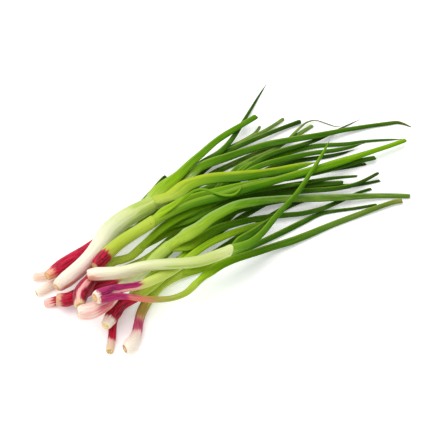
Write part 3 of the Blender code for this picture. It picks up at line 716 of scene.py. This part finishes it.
def stretched(tree, vector, shrink, scale, detail=2.0, rough=0.5):
    """Noise drawn out along the piece."""
    longer = put(tree, "ShaderNodeVectorMath", {"operation": "MULTIPLY"}, i0=vector,
                 i1=(1.0, 1.0, shrink)).outputs[0]
    return put(tree, "ShaderNodeTexNoise", {"noise_dimensions": "3D"}, Vector=longer, Scale=scale,
               Detail=detail, Roughness=rough).outputs["Fac"]


def make_vein_group():
    """Lengthwise veins: broad and fine streaks, and their relief."""
    tree, given, result = new_group(
        "lengthwise_veins",
        (("Grain", DIRECTION, None), ("Strength", NUMBER, 0.5), ("Shift", NUMBER, 0.0)),
        (("Broad", NUMBER), ("Fine", NUMBER), ("Normal", DIRECTION)))
    by = given.outputs["Shift"]
    shift = put(tree, "ShaderNodeCombineXYZ", X=by, Y=by, Z=0.0).outputs[0]
    grain = put(tree, "ShaderNodeVectorMath", {"operation": "ADD"}, i0=given.outputs["Grain"],
                i1=shift).outputs[0]
    broad = stretched(tree, grain, 0.035, 0.62, 2.5, 0.6)
    fine = stretched(tree, grain, 0.014, 2.6, 2.0, 0.6)
    relief = plus(tree, times(tree, broad, 0.7), times(tree, fine, 0.3))
    bump = put(tree, "ShaderNodeBump", Strength=given.outputs["Strength"], Distance=BUMP_HEIGHT,
               Height=relief)
    tree.links.new(broad, result.inputs["Broad"])
    tree.links.new(fine, result.inputs["Fine"])
    tree.links.new(bump.outputs[0], result.inputs["Normal"])
    return tree


def make_bloom_group():
    """The pale waxy bloom that lies in patches, and small specks."""
    tree, given, result = new_group(
        "waxy_bloom", (("Grain", DIRECTION, None), ("Amount", NUMBER, 0.3)),
        (("Bloom", NUMBER), ("Specks", NUMBER)))
    patches = stretched(tree, given.outputs["Grain"], 0.22, 0.35, 3.0, 0.6)
    spread = remap(tree, patches, 0.35, 0.7)
    bloom = times(tree, spread, given.outputs["Amount"])
    dots = stretched(tree, given.outputs["Grain"], 0.5, 1.6, 1.0)
    specks = remap(tree, dots, 0.7, 0.78)
    tree.links.new(bloom, result.inputs["Bloom"])
    tree.links.new(specks, result.inputs["Specks"])
    return tree


def make_streak_group():
    """The ragged, streaky edge of a colour that was laid on with a mask."""
    tree, given, result = new_group(
        "streaky_edge", (("Mask", NUMBER, 0.0), ("Streaks", NUMBER, 0.5),
                         ("Ragged", NUMBER, 0.7)),
        (("Share", NUMBER),))
    away = remap(tree, given.outputs["Streaks"], 0.32, 0.68, -0.5, 0.5)
    torn = times(tree, away, given.outputs["Ragged"])
    share = remap(tree, plus(tree, times(tree, given.outputs["Mask"], 1.35), torn), 0.3, 0.9)
    gate = remap(tree, given.outputs["Mask"], 0.0, 0.2)
    tree.links.new(times(tree, share, gate), result.inputs["Share"])
    return tree


VEINS = make_vein_group()
BLOOM = make_bloom_group()
STREAKS = make_streak_group()


def new_material(name):
    """A material with only its shader and output."""
    material = bpy.data.materials.new(name)
    material.use_nodes = True
    tree = material.node_tree
    return material, tree, tree.nodes["Principled BSDF"]


def dress(tree, shader, colour, rough, normal, gloss):
    """Gives a shader its colour, roughness, relief and strength of gloss."""
    tree.links.new(colour, shader.inputs["Base Color"])
    tree.links.new(rough, shader.inputs["Roughness"])
    tree.links.new(normal, shader.inputs["Normal"])
    shader.inputs["Specular IOR Level"].default_value = gloss


def leaf_material(name, look):
    """A leaf's skin: colours along it, veins, bloom, a painted highlight on its upper edge, painted shade on
    its lower side and a dry tip.
    """
    material, tree, shader = new_material(name)
    grain = read(tree, "grain")
    veins = use(tree, VEINS, Grain=grain, Strength=LEAF_RELIEF, Shift=float(look["seed"]))
    bloom = use(tree, BLOOM, Grain=grain, Amount=look["bloom"]).outputs["Bloom"]
    broad = remap(tree, veins.outputs["Broad"], *STREAK_RANGE)
    fine = remap(tree, veins.outputs["Fine"], *STREAK_RANGE)
    grown = remap(tree, mark(tree, "reach"), 0.0, 40.0, 0.15, 1.0)
    nudge = times(tree, sums(tree, "SUBTRACT", broad, 0.5), 0.07)
    colour = ramp(tree, plus(tree, mark(tree, "along"), nudge), look["stops"])
    # darker streaks along the leaf, then painted shade on its lower side as the eye sees it
    deeper = blend_colour(tree, 1.0, colour, LEAF_SHADOW, "MULTIPLY")
    for share in (times(tree, times(tree, without(tree, broad), 0.9), grown),
                  times(tree, without(tree, fine), 0.6),
                  times(tree, times(tree, mark(tree, "shade"), look["shade"]), grown)):
        colour = blend_colour(tree, share, colour, deeper)
    # a highlight painted along the upper edge as the eye sees it
    edge = times(tree, mark(tree, "edge"), plus(tree, times(tree, fine, 0.5), 0.6))
    colour = blend_colour(tree, times(tree, edge, look["rim"], True), colour, look["highlight_colour"])
    pale = use(tree, STREAKS, Mask=mark(tree, "pale"), Streaks=veins.outputs["Fine"], Ragged=0.6).outputs[0]
    colour = blend_colour(tree, pale, colour, look["pale_colour"])
    colour = blend_colour(tree, bloom, colour, look["bloom_colour"])
    dry = times(tree, mark(tree, "dry"), 0.9)
    colour = blend_colour(tree, dry, colour, look["dry_colour"])
    # the inner wall of a cut end turns dark green: painted shade in the hollow
    colour = blend_colour(tree, times(tree, mark(tree, "inside"), 0.8), colour, look["inside"])
    rough = plus(tree, times(tree, bloom, 0.35), 0.4)
    rough = plus(tree, rough, times(tree, dry, 0.3), True)
    dress(tree, shader, colour, rough, veins.outputs["Normal"], LEAF_GLOSS)
    return material


def shank_material(name, look):
    """A stem's skin: pale colours along it, red and warm flushes with streaky edges, and a tan root plate."""
    material, tree, shader = new_material(name)
    along = mark(tree, "along")
    root = mark(tree, "root")
    grain = read(tree, "grain")
    veins = use(tree, VEINS, Grain=grain, Strength=STEM_RELIEF, Shift=float(look["seed"]))
    bloom = use(tree, BLOOM, Grain=grain, Amount=0.25)
    broad = veins.outputs["Broad"]
    fine = veins.outputs["Fine"]
    mixed = plus(tree, times(tree, broad, 0.55), times(tree, fine, 0.45))
    nudged = plus(tree, along, remap(tree, broad, *STREAK_RANGE, -0.05, 0.05))
    colour = ramp(tree, nudged, look["stops"])
    lines = times(tree, remap(tree, fine, 0.42, 0.6), remap(tree, along, 0.25, 0.8, 0.0, 0.6))
    colour = blend_colour(tree, lines, colour, look["green"])
    red = blend_colour(tree, remap(tree, broad, 0.36, 0.6), look["red_deep"], look["red"])
    red = blend_colour(tree, remap(tree, fine, 0.54, 0.68, 0.0, 0.45), red, look["red_pale"])
    # the flushes: (mask, streaks that tear its edge, how much they do, strength, colour)
    for kind, streaks, ragged, strength, flush in (
            ("green", broad, 0.9, 0.75, look["green"]), ("pink", mixed, 1.35, 0.7, look["pink"]),
            ("warm", broad, 0.9, 0.85, look["warm"]), ("red", mixed, 0.75, 1.0, red)):
        share = use(tree, STREAKS, Mask=mark(tree, kind), Streaks=streaks, Ragged=ragged).outputs[0]
        colour = blend_colour(tree, times(tree, share, strength), colour, flush)
    shaded = blend_colour(tree, 1.0, colour, STEM_SHADOW, "MULTIPLY")
    between = without(tree, remap(tree, fine, *STREAK_RANGE))
    colour = blend_colour(tree, times(tree, between, 0.6), colour, shaded)
    mottle = put(tree, "ShaderNodeTexNoise", Vector=grain, Scale=1.3, Detail=4.0).outputs["Fac"]
    plate = blend_colour(tree, remap(tree, mottle, 0.42, 0.62), look["plate"], look["plate_dark"])
    plate = blend_colour(tree, remap(tree, root, 0.62, 0.85), look["plate_dark"], plate)
    colour = blend_colour(tree, remap(tree, root, 0.1, 0.5), colour, plate)
    colour = blend_colour(tree, times(tree, bloom.outputs["Specks"], 0.2), colour, TAN_DARK)
    lip = look["lip"] or look["stops"][-1][1]
    colour = blend_colour(tree, times(tree, mark(tree, "inside"), 0.7), colour, lip)
    rough = plus(tree, times(tree, bloom.outputs["Bloom"], 0.5), 0.38)
    rough = plus(tree, rough, times(tree, root, 0.35), True)
    dress(tree, shader, colour, rough, veins.outputs["Normal"], STEM_GLOSS)
    return material


def stub_material():
    """The dry, cut roots: straw to brown, rough."""
    material, tree, shader = new_material("root_stub_skin")
    spot = put(tree, "ShaderNodeTexCoord").outputs["Object"]
    noise = put(tree, "ShaderNodeTexNoise", Vector=spot, Scale=900.0, Detail=3.0).outputs["Fac"]
    straw = ((0.0, tone(214, 176, 120)), (0.5, tone(238, 212, 158)), (1.0, tone(250, 238, 196)))
    colour = ramp(tree, remap(tree, noise, 0.35, 0.65), straw)
    bump = put(tree, "ShaderNodeBump", Strength=STUB_RELIEF, Distance=BUMP_HEIGHT, Height=noise).outputs[0]
    dress(tree, shader, colour, remap(tree, noise, *STREAK_RANGE, 0.6, 0.85), bump, STUB_GLOSS)
    return material


STUB_SKIN = stub_material()

# ---------------------------------------------------------------- how each stem looks
# stops are colours from the root plate to the collar. A blot is (kind, strength, from, to) along the stem and
# then (from, to) across it as the eye sees it, -1 at its lower edge and 1 at its upper one, or past them.
ALL_ROUND = (-1.5, 1.5)
STEM_LOOKS = {
    "01": dict(
        stops=((0.0, CREAM), (0.2, BLUSH), (0.5, PINK), (0.8, STEM_GREEN), (1.0, STEM_LIME)),
        blots=(("warm", 0.6, -0.1, 0.12, *ALL_ROUND),),
        warm=tone(246, 206, 188)),
    "02": dict(
        stops=((0.0, tone(240, 190, 150)), (0.12, PINK), (0.6, PINK), (0.85, OLIVE), (1.0, STEM_LIME)),
        blots=(("red", 1.0, 0.06, 0.72, *ALL_ROUND), ("warm", 0.9, -0.1, 0.03, -1.5, 0.2)),
        warm=tone(222, 122, 80), red=tone(206, 4, 58), plate_size=0.6, plate=tone(198, 150, 84)),
    "03": dict(
        stops=((0.0, CREAM), (0.25, BLUSH), (0.5, CREAM), (0.8, STEM_GREEN), (1.0, STEM_LIME)),
        blots=(("warm", 0.5, 0.02, 0.25, -1.5, -0.3),),
        warm=tone(242, 200, 176)),
    "04": dict(
        stops=((0.0, BLUSH), (0.06, CREAM), (0.35, CREAM), (0.6, tone(240, 240, 216)), (0.8, STEM_PALE),
               (1.0, STEM_GREEN)),
        blots=(("warm", 0.7, 0.0, 0.12, -1.5, -0.6), ("pink", 0.7, 0.12, 0.4, -1.5, -0.2),
               ("green", 0.7, 0.6, 1.1, -1.5, -0.6), ("green", 0.6, 0.86, 1.2, *ALL_ROUND)),
        # lip: a darker green inside the collar, painted shade in the crevice
        warm=tone(232, 138, 112), lip=LEAF_BRIGHT, plate_size=0.3, plate=tone(240, 210, 140),
        plate_dark=tone(214, 170, 100)),
    "05": dict(
        stops=((0.0, CREAM), (0.1, BLUSH), (0.3, PINK), (0.7, STEM_GREEN), (1.0, STEM_LIME)),
        blots=(("red", 0.75, 0.07, 0.6, *ALL_ROUND), ("pink", 0.8, 0.0, 0.2, *ALL_ROUND))),
    "06": dict(
        stops=((0.0, TAN), (0.06, BLUSH), (0.4, PINK), (0.7, STEM_GREEN), (1.0, STEM_LIME)),
        blots=(("red", 1.0, 0.05, 0.6, *ALL_ROUND), ("warm", 0.6, 0.0, 0.06, *ALL_ROUND)),
        warm=tone(226, 150, 120), plate_size=0.74, plate=tone(204, 152, 96)),
    "07": dict(
        stops=((0.0, tone(222, 200, 140)), (0.1, BLUSH), (0.3, PINK), (0.5, STEM_GREEN), (0.7, STEM_LIME),
               (1.0, STEM_LIME)),
        blots=(("red", 1.0, 0.04, 0.56, -1.5, -0.3), ("red", 1.0, 0.04, 0.56, 0.4, 1.5),
               ("red", 1.0, 0.3, 0.56, *ALL_ROUND), ("pink", 0.8, 0.0, 0.4, -0.5, 0.6)),
        red=tone(176, 8, 62), red_deep=tone(96, 4, 26), plate_size=0.42, plate=tone(216, 196, 120)),
    "08": dict(
        stops=((0.0, BLUSH), (0.05, CREAM), (0.2, STEM_WHITE), (0.55, tone(224, 230, 176)),
               (0.85, tone(208, 220, 130)), (1.0, STEM_PALE)),
        blots=(("warm", 0.8, -0.1, 0.09, -1.5, -0.2), ("green", 0.5, 0.55, 0.95, -1.5, -0.2)),
        warm=tone(238, 156, 126), plate_size=0.45, plate=tone(204, 152, 92), lip=CREAM, collar=3.4,
        collar_slant=2.6, collar_lift=0.16),
    "09": dict(
        stops=((0.0, CREAM), (0.1, BLUSH), (0.3, BLUSH), (0.45, STEM_WHITE), (0.7, STEM_PALE),
               (0.9, STEM_GREEN), (1.0, STEM_LIME)),
        blots=(("green", 0.8, 0.74, 1.3, *ALL_ROUND), ("pink", 0.55, 0.02, 0.36, *ALL_ROUND),
               ("warm", 0.4, 0.12, 0.28, -1.0, -0.2), ("red", 0.5, 0.12, 0.34, -0.8, 0.3)),
        warm=tone(226, 120, 108), red=tone(226, 112, 128), red_deep=tone(206, 82, 104), plate_size=0.5),
    "10": dict(
        stops=((0.0, CREAM), (0.08, BLUSH), (0.3, PINK), (0.5, STEM_GREEN), (0.7, STEM_GREEN),
               (1.0, STEM_LIME)),
        blots=(("red", 1.0, 0.04, 0.52, -0.2, 1.5), ("red", 0.9, 0.06, 0.34, -1.5, -0.6),
               ("pink", 0.9, 0.1, 0.5, -1.5, 0.3)),
        red=MAGENTA, red_deep=tone(120, 18, 72), plate_size=0.4),
    "11": dict(
        stops=((0.0, BLUSH), (0.08, PINK), (0.25, tone(196, 104, 96)), (0.45, tone(184, 118, 76)),
               (0.7, OLIVE), (1.0, LEAF_LIME)),
        blots=(("red", 1.0, -0.05, 0.28, *ALL_ROUND), ("red", 0.4, 0.2, 0.42, 0.4, 1.5),
               ("warm", 0.6, 0.22, 0.5, -1.5, 0.6)),
        red=MAGENTA, red_deep=tone(122, 24, 60), warm=tone(222, 112, 104)),
    "12": dict(
        stops=((0.0, CREAM), (0.08, CREAM), (0.14, PINK), (0.45, OLIVE), (0.65, STEM_LIME), (1.0, LEAF_LIME)),
        blots=(("red", 1.0, 0.1, 0.5, *ALL_ROUND), ("peel", 1.0, -0.2, 0.08, *ALL_ROUND)),
        red_deep=CRIMSON_DARK, plate_size=0.6, plate=tone(250, 240, 180), plate_dark=tone(236, 214, 146)),
    "13": dict(
        stops=((0.0, tone(222, 206, 150)), (0.08, BLUSH), (0.4, PINK), (0.65, OLIVE), (1.0, LEAF_LIME)),
        blots=(("red", 1.0, 0.13, 0.62, *ALL_ROUND),),
        plate_size=0.7, plate=tone(186, 170, 92)),
    "14": dict(
        stops=((0.0, CREAM), (0.15, CREAM), (0.26, PINK), (0.42, tone(186, 160, 84)), (0.62, STEM_LIME),
               (1.0, STEM_LIME)),
        blots=(("red", 0.85, 0.22, 0.36, *ALL_ROUND), ("warm", 0.8, 0.38, 0.56, *ALL_ROUND)),
        red=tone(204, 84, 124), red_deep=tone(160, 44, 84), warm=tone(164, 132, 66), plate_size=0.36,
        plate=tone(226, 180, 116), plate_dark=tone(190, 130, 74)),
    "15": dict(
        stops=((0.0, CREAM), (0.1, PINK), (0.24, STEM_LIME), (0.6, STEM_LIME), (0.8, STEM_LIME),
               (1.0, STEM_LIME)),
        blots=(("red", 1.0, -0.1, 0.24, *ALL_ROUND),),
        red_deep=CRIMSON_DARK),
}
STEM_DEFAULTS = dict(
    lobes=3, red=CRIMSON, red_deep=tone(146, 4, 40), red_pale=tone(228, 84, 124), pink=tone(240, 170, 172),
    warm=SALMON, green=tone(172, 200, 84), plate=tone(238, 206, 150), plate_dark=tone(208, 162, 108),
    lip=None, plate_size=0.42, stubs=24, foot=1.0, collar=3.2, collar_slant=3.0, collar_lift=0.05,
    collar_at=1.2, blots=())

# ---------------------------------------------------------------- how each leaf looks
MID_LEAF = ((0.0, LEAF_LIME), (0.1, LEAF_LIME), (0.25, LEAF_BRIGHT), (0.45, LEAF_GREEN), (0.75, LEAF_MID),
            (1.0, LEAF_DEEP))
DARK_LEAF = ((0.0, LEAF_LIME), (0.1, LEAF_LIME), (0.22, LEAF_GREEN), (0.42, LEAF_MID), (0.75, LEAF_DEEP),
             (1.0, LEAF_DARK))
GREY_LEAF = ((0.0, LEAF_LIME), (0.12, LEAF_LIME), (0.26, LEAF_GREEN), (0.45, LEAF_MID), (0.65, LEAF_GREY),
             (1.0, LEAF_DUST))
BRIGHT_LEAF = ((0.0, STEM_LIME), (0.15, LEAF_LIME), (0.4, LEAF_BRIGHT), (0.8, LEAF_GREEN), (1.0, LEAF_LIME))
LEAF_LOOKS = {
    "01_1": dict(stops=DARK_LEAF),
    "01_2": dict(stops=GREY_LEAF, bloom=0.5),
    "02_1": dict(stops=DARK_LEAF),
    "02_2": dict(stops=DARK_LEAF, roof=0.5, ridge=-0.2),
    "03_1": dict(stops=GREY_LEAF, bloom=0.5),
    "03_2": dict(stops=GREY_LEAF, bloom=0.6),
    "03_3": dict(stops=DARK_LEAF, wilt=3),
    "04_1": dict(
        stops=((0.0, STEM_LIME), (0.1, LEAF_LIME), (0.2, LEAF_BRIGHT), (0.34, LEAF_MID), (0.7, LEAF_MID),
               (0.93, LEAF_DEEP), (1.0, OLIVE_DARK)),
        roof=0.7, ridge=0.35, rim=0.5, wilt=14, tip=0.75, base_wide=1.25, end_wide=1.9,
        pale=((0.9, 0.0, 0.2, -1.5, 0.3),)),
    "04_2": dict(
        stops=((0.0, STEM_GREEN), (0.15, LEAF_LIME), (0.35, LEAF_BRIGHT), (0.7, LEAF_GREEN),
               (1.0, LEAF_GREEN)),
        roof=0.35, ridge=0.1, groove=0.25, rim=0.3, shade=0.6, base_wide=1.3),
    "04_3": dict(
        # a strong highlight painted on the upper edge, and strong painted shade on the lower side
        stops=((0.0, STEM_LIME), (0.12, tone(206, 216, 96)), (0.3, LEAF_LIME), (0.45, LEAF_GREEN),
               (0.7, LEAF_MID), (1.0, LEAF_BRIGHT)),
        base_wide=1.6, end_wide=1.5, roof=0.85, ridge=0.3, rim=0.8, highlight_colour=tone(184, 200, 40),
        highlight_from=0.15, shade=1.0, spread=40.0),
    "05_1": dict(stops=GREY_LEAF, bloom=0.6, wilt=60),
    "05_2": dict(stops=MID_LEAF, wilt=10),
    "06_1": dict(stops=DARK_LEAF, wilt=50),
    "06_2": dict(stops=MID_LEAF, wilt=10),
    "07_1": dict(stops=DARK_LEAF, wilt=5),
    "07_2": dict(stops=DARK_LEAF, wilt=6),
    "07_3": dict(stops=MID_LEAF),
    "08_1": dict(stops=((0.0, LEAF_BRIGHT), (0.2, LEAF_MID), (1.0, LEAF_DARK)), root_share=0.0),
    "08_2": dict(
        stops=((0.0, STEM_LIME), (0.05, LEAF_GREEN), (0.4, LEAF_MID), (0.7, LEAF_GREEN), (1.0, LEAF_BRIGHT)),
        roof=0.5, ridge=-0.2, root_share=0.0),
    "09_1": dict(stops=DARK_LEAF, wilt=3),
    "09_2": dict(
        # rim and highlight_colour: a pale highlight painted on the upper edge
        stops=((0.0, STEM_LIME), (0.12, STEM_LIME), (0.26, LEAF_BRIGHT), (0.38, LEAF_GREEN), (0.5, LEAF_GREY),
               (1.0, LEAF_GREY)),
        roof=0.6, ridge=0.4, rim=0.6, highlight_colour=tone(176, 206, 140), bloom=0.35, base_wide=1.2),
    "10_1": dict(stops=((0.0, STEM_LIME), (0.3, LEAF_LIME), (1.0, LEAF_MID))),
    "11_1": dict(
        stops=((0.0, OLIVE), (0.08, LEAF_LIME), (0.2, LEAF_BRIGHT), (0.4, LEAF_MID), (0.9, LEAF_GREY),
               (1.0, STRAW)),
        roof=0.5, ridge=0.2),
    "12_1": dict(stops=DARK_LEAF, wilt=5),
    "12_2": dict(stops=MID_LEAF),
    "12_3": dict(stops=DARK_LEAF),
    "13_1": dict(stops=DARK_LEAF, wilt=3),
    "14_1": dict(stops=DARK_LEAF, wilt=3),
    "14_2": dict(stops=DARK_LEAF),
    "15_1": dict(stops=MID_LEAF),
    "15_2": dict(
        # the darker stretch about a third along is painted shade; shade and rim paint shade on the lower side
        # and a highlight on the upper edge
        stops=((0.0, STEM_LIME), (0.12, LEAF_GREEN), (0.32, LEAF_MID), (0.5, LEAF_GREEN), (0.8, LEAF_BRIGHT),
               (1.0, LEAF_BRIGHT)),
        roof=0.5, ridge=0.25, rim=0.4, highlight_from=0.1, shade=1.0, bloom=0.05),
    "15_3": dict(stops=BRIGHT_LEAF, wilt=6),
}
# rim and highlight_colour paint a highlight on each leaf's upper edge as the eye sees it, from highlight_from
# across
LEAF_DEFAULTS = dict(
    ridge=0.15, roll=0.3, roof=0.4, groove=0.12, groove_at=-0.3, belly=0.92, wilt=0, shrivel=0.2, tip=0.3,
    base_wide=1.0, end_wide=1.0, root_share=0.65, wall=0.4, slant=0.8, bloom=0.1,
    # shade: how strongly shade is painted on the lower side
    bloom_colour=tone(146, 174, 74), rim=0.4, highlight_colour=tone(176, 208, 56), highlight_from=0.4, shade=0.85,
    # inside: the dark green painted as shade inside a cut end's hollow
    pale=(), pale_colour=tone(196, 212, 140), dry_colour=tone(92, 88, 44), inside=LEAF_DARK, outer=0.0,
    spread=24.0)
OUTER_LEAVES = ("01_2", "02_1", "03_2", "04_2", "05_2", "06_2", "07_3", "08_2", "09_2", "10_1", "11_1",
                "12_2", "13_1", "14_1", "15_2")

# ---------------------------------------------------------------- the plants
for number, key in enumerate(STEM_LOOKS, 1):
    look = {**STEM_DEFAULTS, "seed": number, **STEM_LOOKS[key]}
    shank = make_shank(f"stem_{key}", f"onion_{key}_shank", look, shank_material(f"stem_skin_{key}", look))
    for leaf in LEAF_LOOKS:
        if not leaf.startswith(key):
            continue
        leaf_look = {**LEAF_DEFAULTS, "seed": 20 + 3 * number + int(leaf[-1]),
                     "outer": float(leaf in OUTER_LEAVES), **LEAF_LOOKS[leaf]}
        share = leaf_look["root_share"]
        root_colour = tuple(share * a + (1 - share) * b for a, b in zip(look["stops"][-1][1], look["green"]))
        leaf_look["stops"] = ((0.0, root_colour), *leaf_look["stops"][1:])
        make_leaf(f"leaf_{leaf}", f"onion_{key}_leaf_{leaf[-1]}", shank, leaf_look,
                  leaf_material(f"leaf_skin_{leaf}", leaf_look))

# ---------------------------------------------------------------- floor, lights and camera
FLOOR_SIZE = 6.0
FLOOR_COLOUR = (0.92, 0.92, 0.92, 1.0)
FLOOR_GLOW = 0.27
WHITE = (1.0, 1.0, 1.0, 1.0)
SKY_LIGHT = 0.34
# (name, place and size in metres, power in watts)
LIGHTS = (("key", (-0.35, 0.35, 1.15), 1.8, 22.0), ("fill", (-0.4, -1.2, 0.9), 1.4, 6.0))


def area_light(name, where, size, power):
    """A square soft white light facing the bunch."""
    light = bpy.data.lights.new(name, "AREA")
    light.shape = "SQUARE"
    light.size = size
    light.energy = power
    thing = new_object(name, light)
    thing.location = where
    thing.rotation_euler = facing(-Vector(where))


bpy.ops.object.select_all(action="DESELECT")
bpy.ops.mesh.primitive_plane_add(size=FLOOR_SIZE)
floor_object = bpy.context.object
floor_object.name = "floor"
floor_material, _, floor_shader = new_material("pale_floor")
for socket, value in (("Base Color", FLOOR_COLOUR), ("Emission Color", WHITE),
                      ("Emission Strength", FLOOR_GLOW), ("Roughness", 0.9), ("Specular IOR Level", 0.1)):
    floor_shader.inputs[socket].default_value = value
floor_object.data.materials.append(floor_material)

for light in LIGHTS:
    area_light(*light)

world = bpy.data.worlds.new("studio")
world.use_nodes = True
background = world.node_tree.nodes["Background"]
background.inputs["Color"].default_value = WHITE
background.inputs["Strength"].default_value = SKY_LIGHT
bpy.context.scene.world = world
bpy.context.scene.view_settings.view_transform = "Standard"

camera_data = bpy.data.cameras.new("camera")
camera_data.lens = LENS
camera_data.sensor_width = SENSOR
camera = new_object("camera", camera_data)
camera.location = Vector(EYE) * MM
camera.rotation_euler = facing(Vector(AIM) - Vector(EYE))
bpy.context.scene.camera = camera
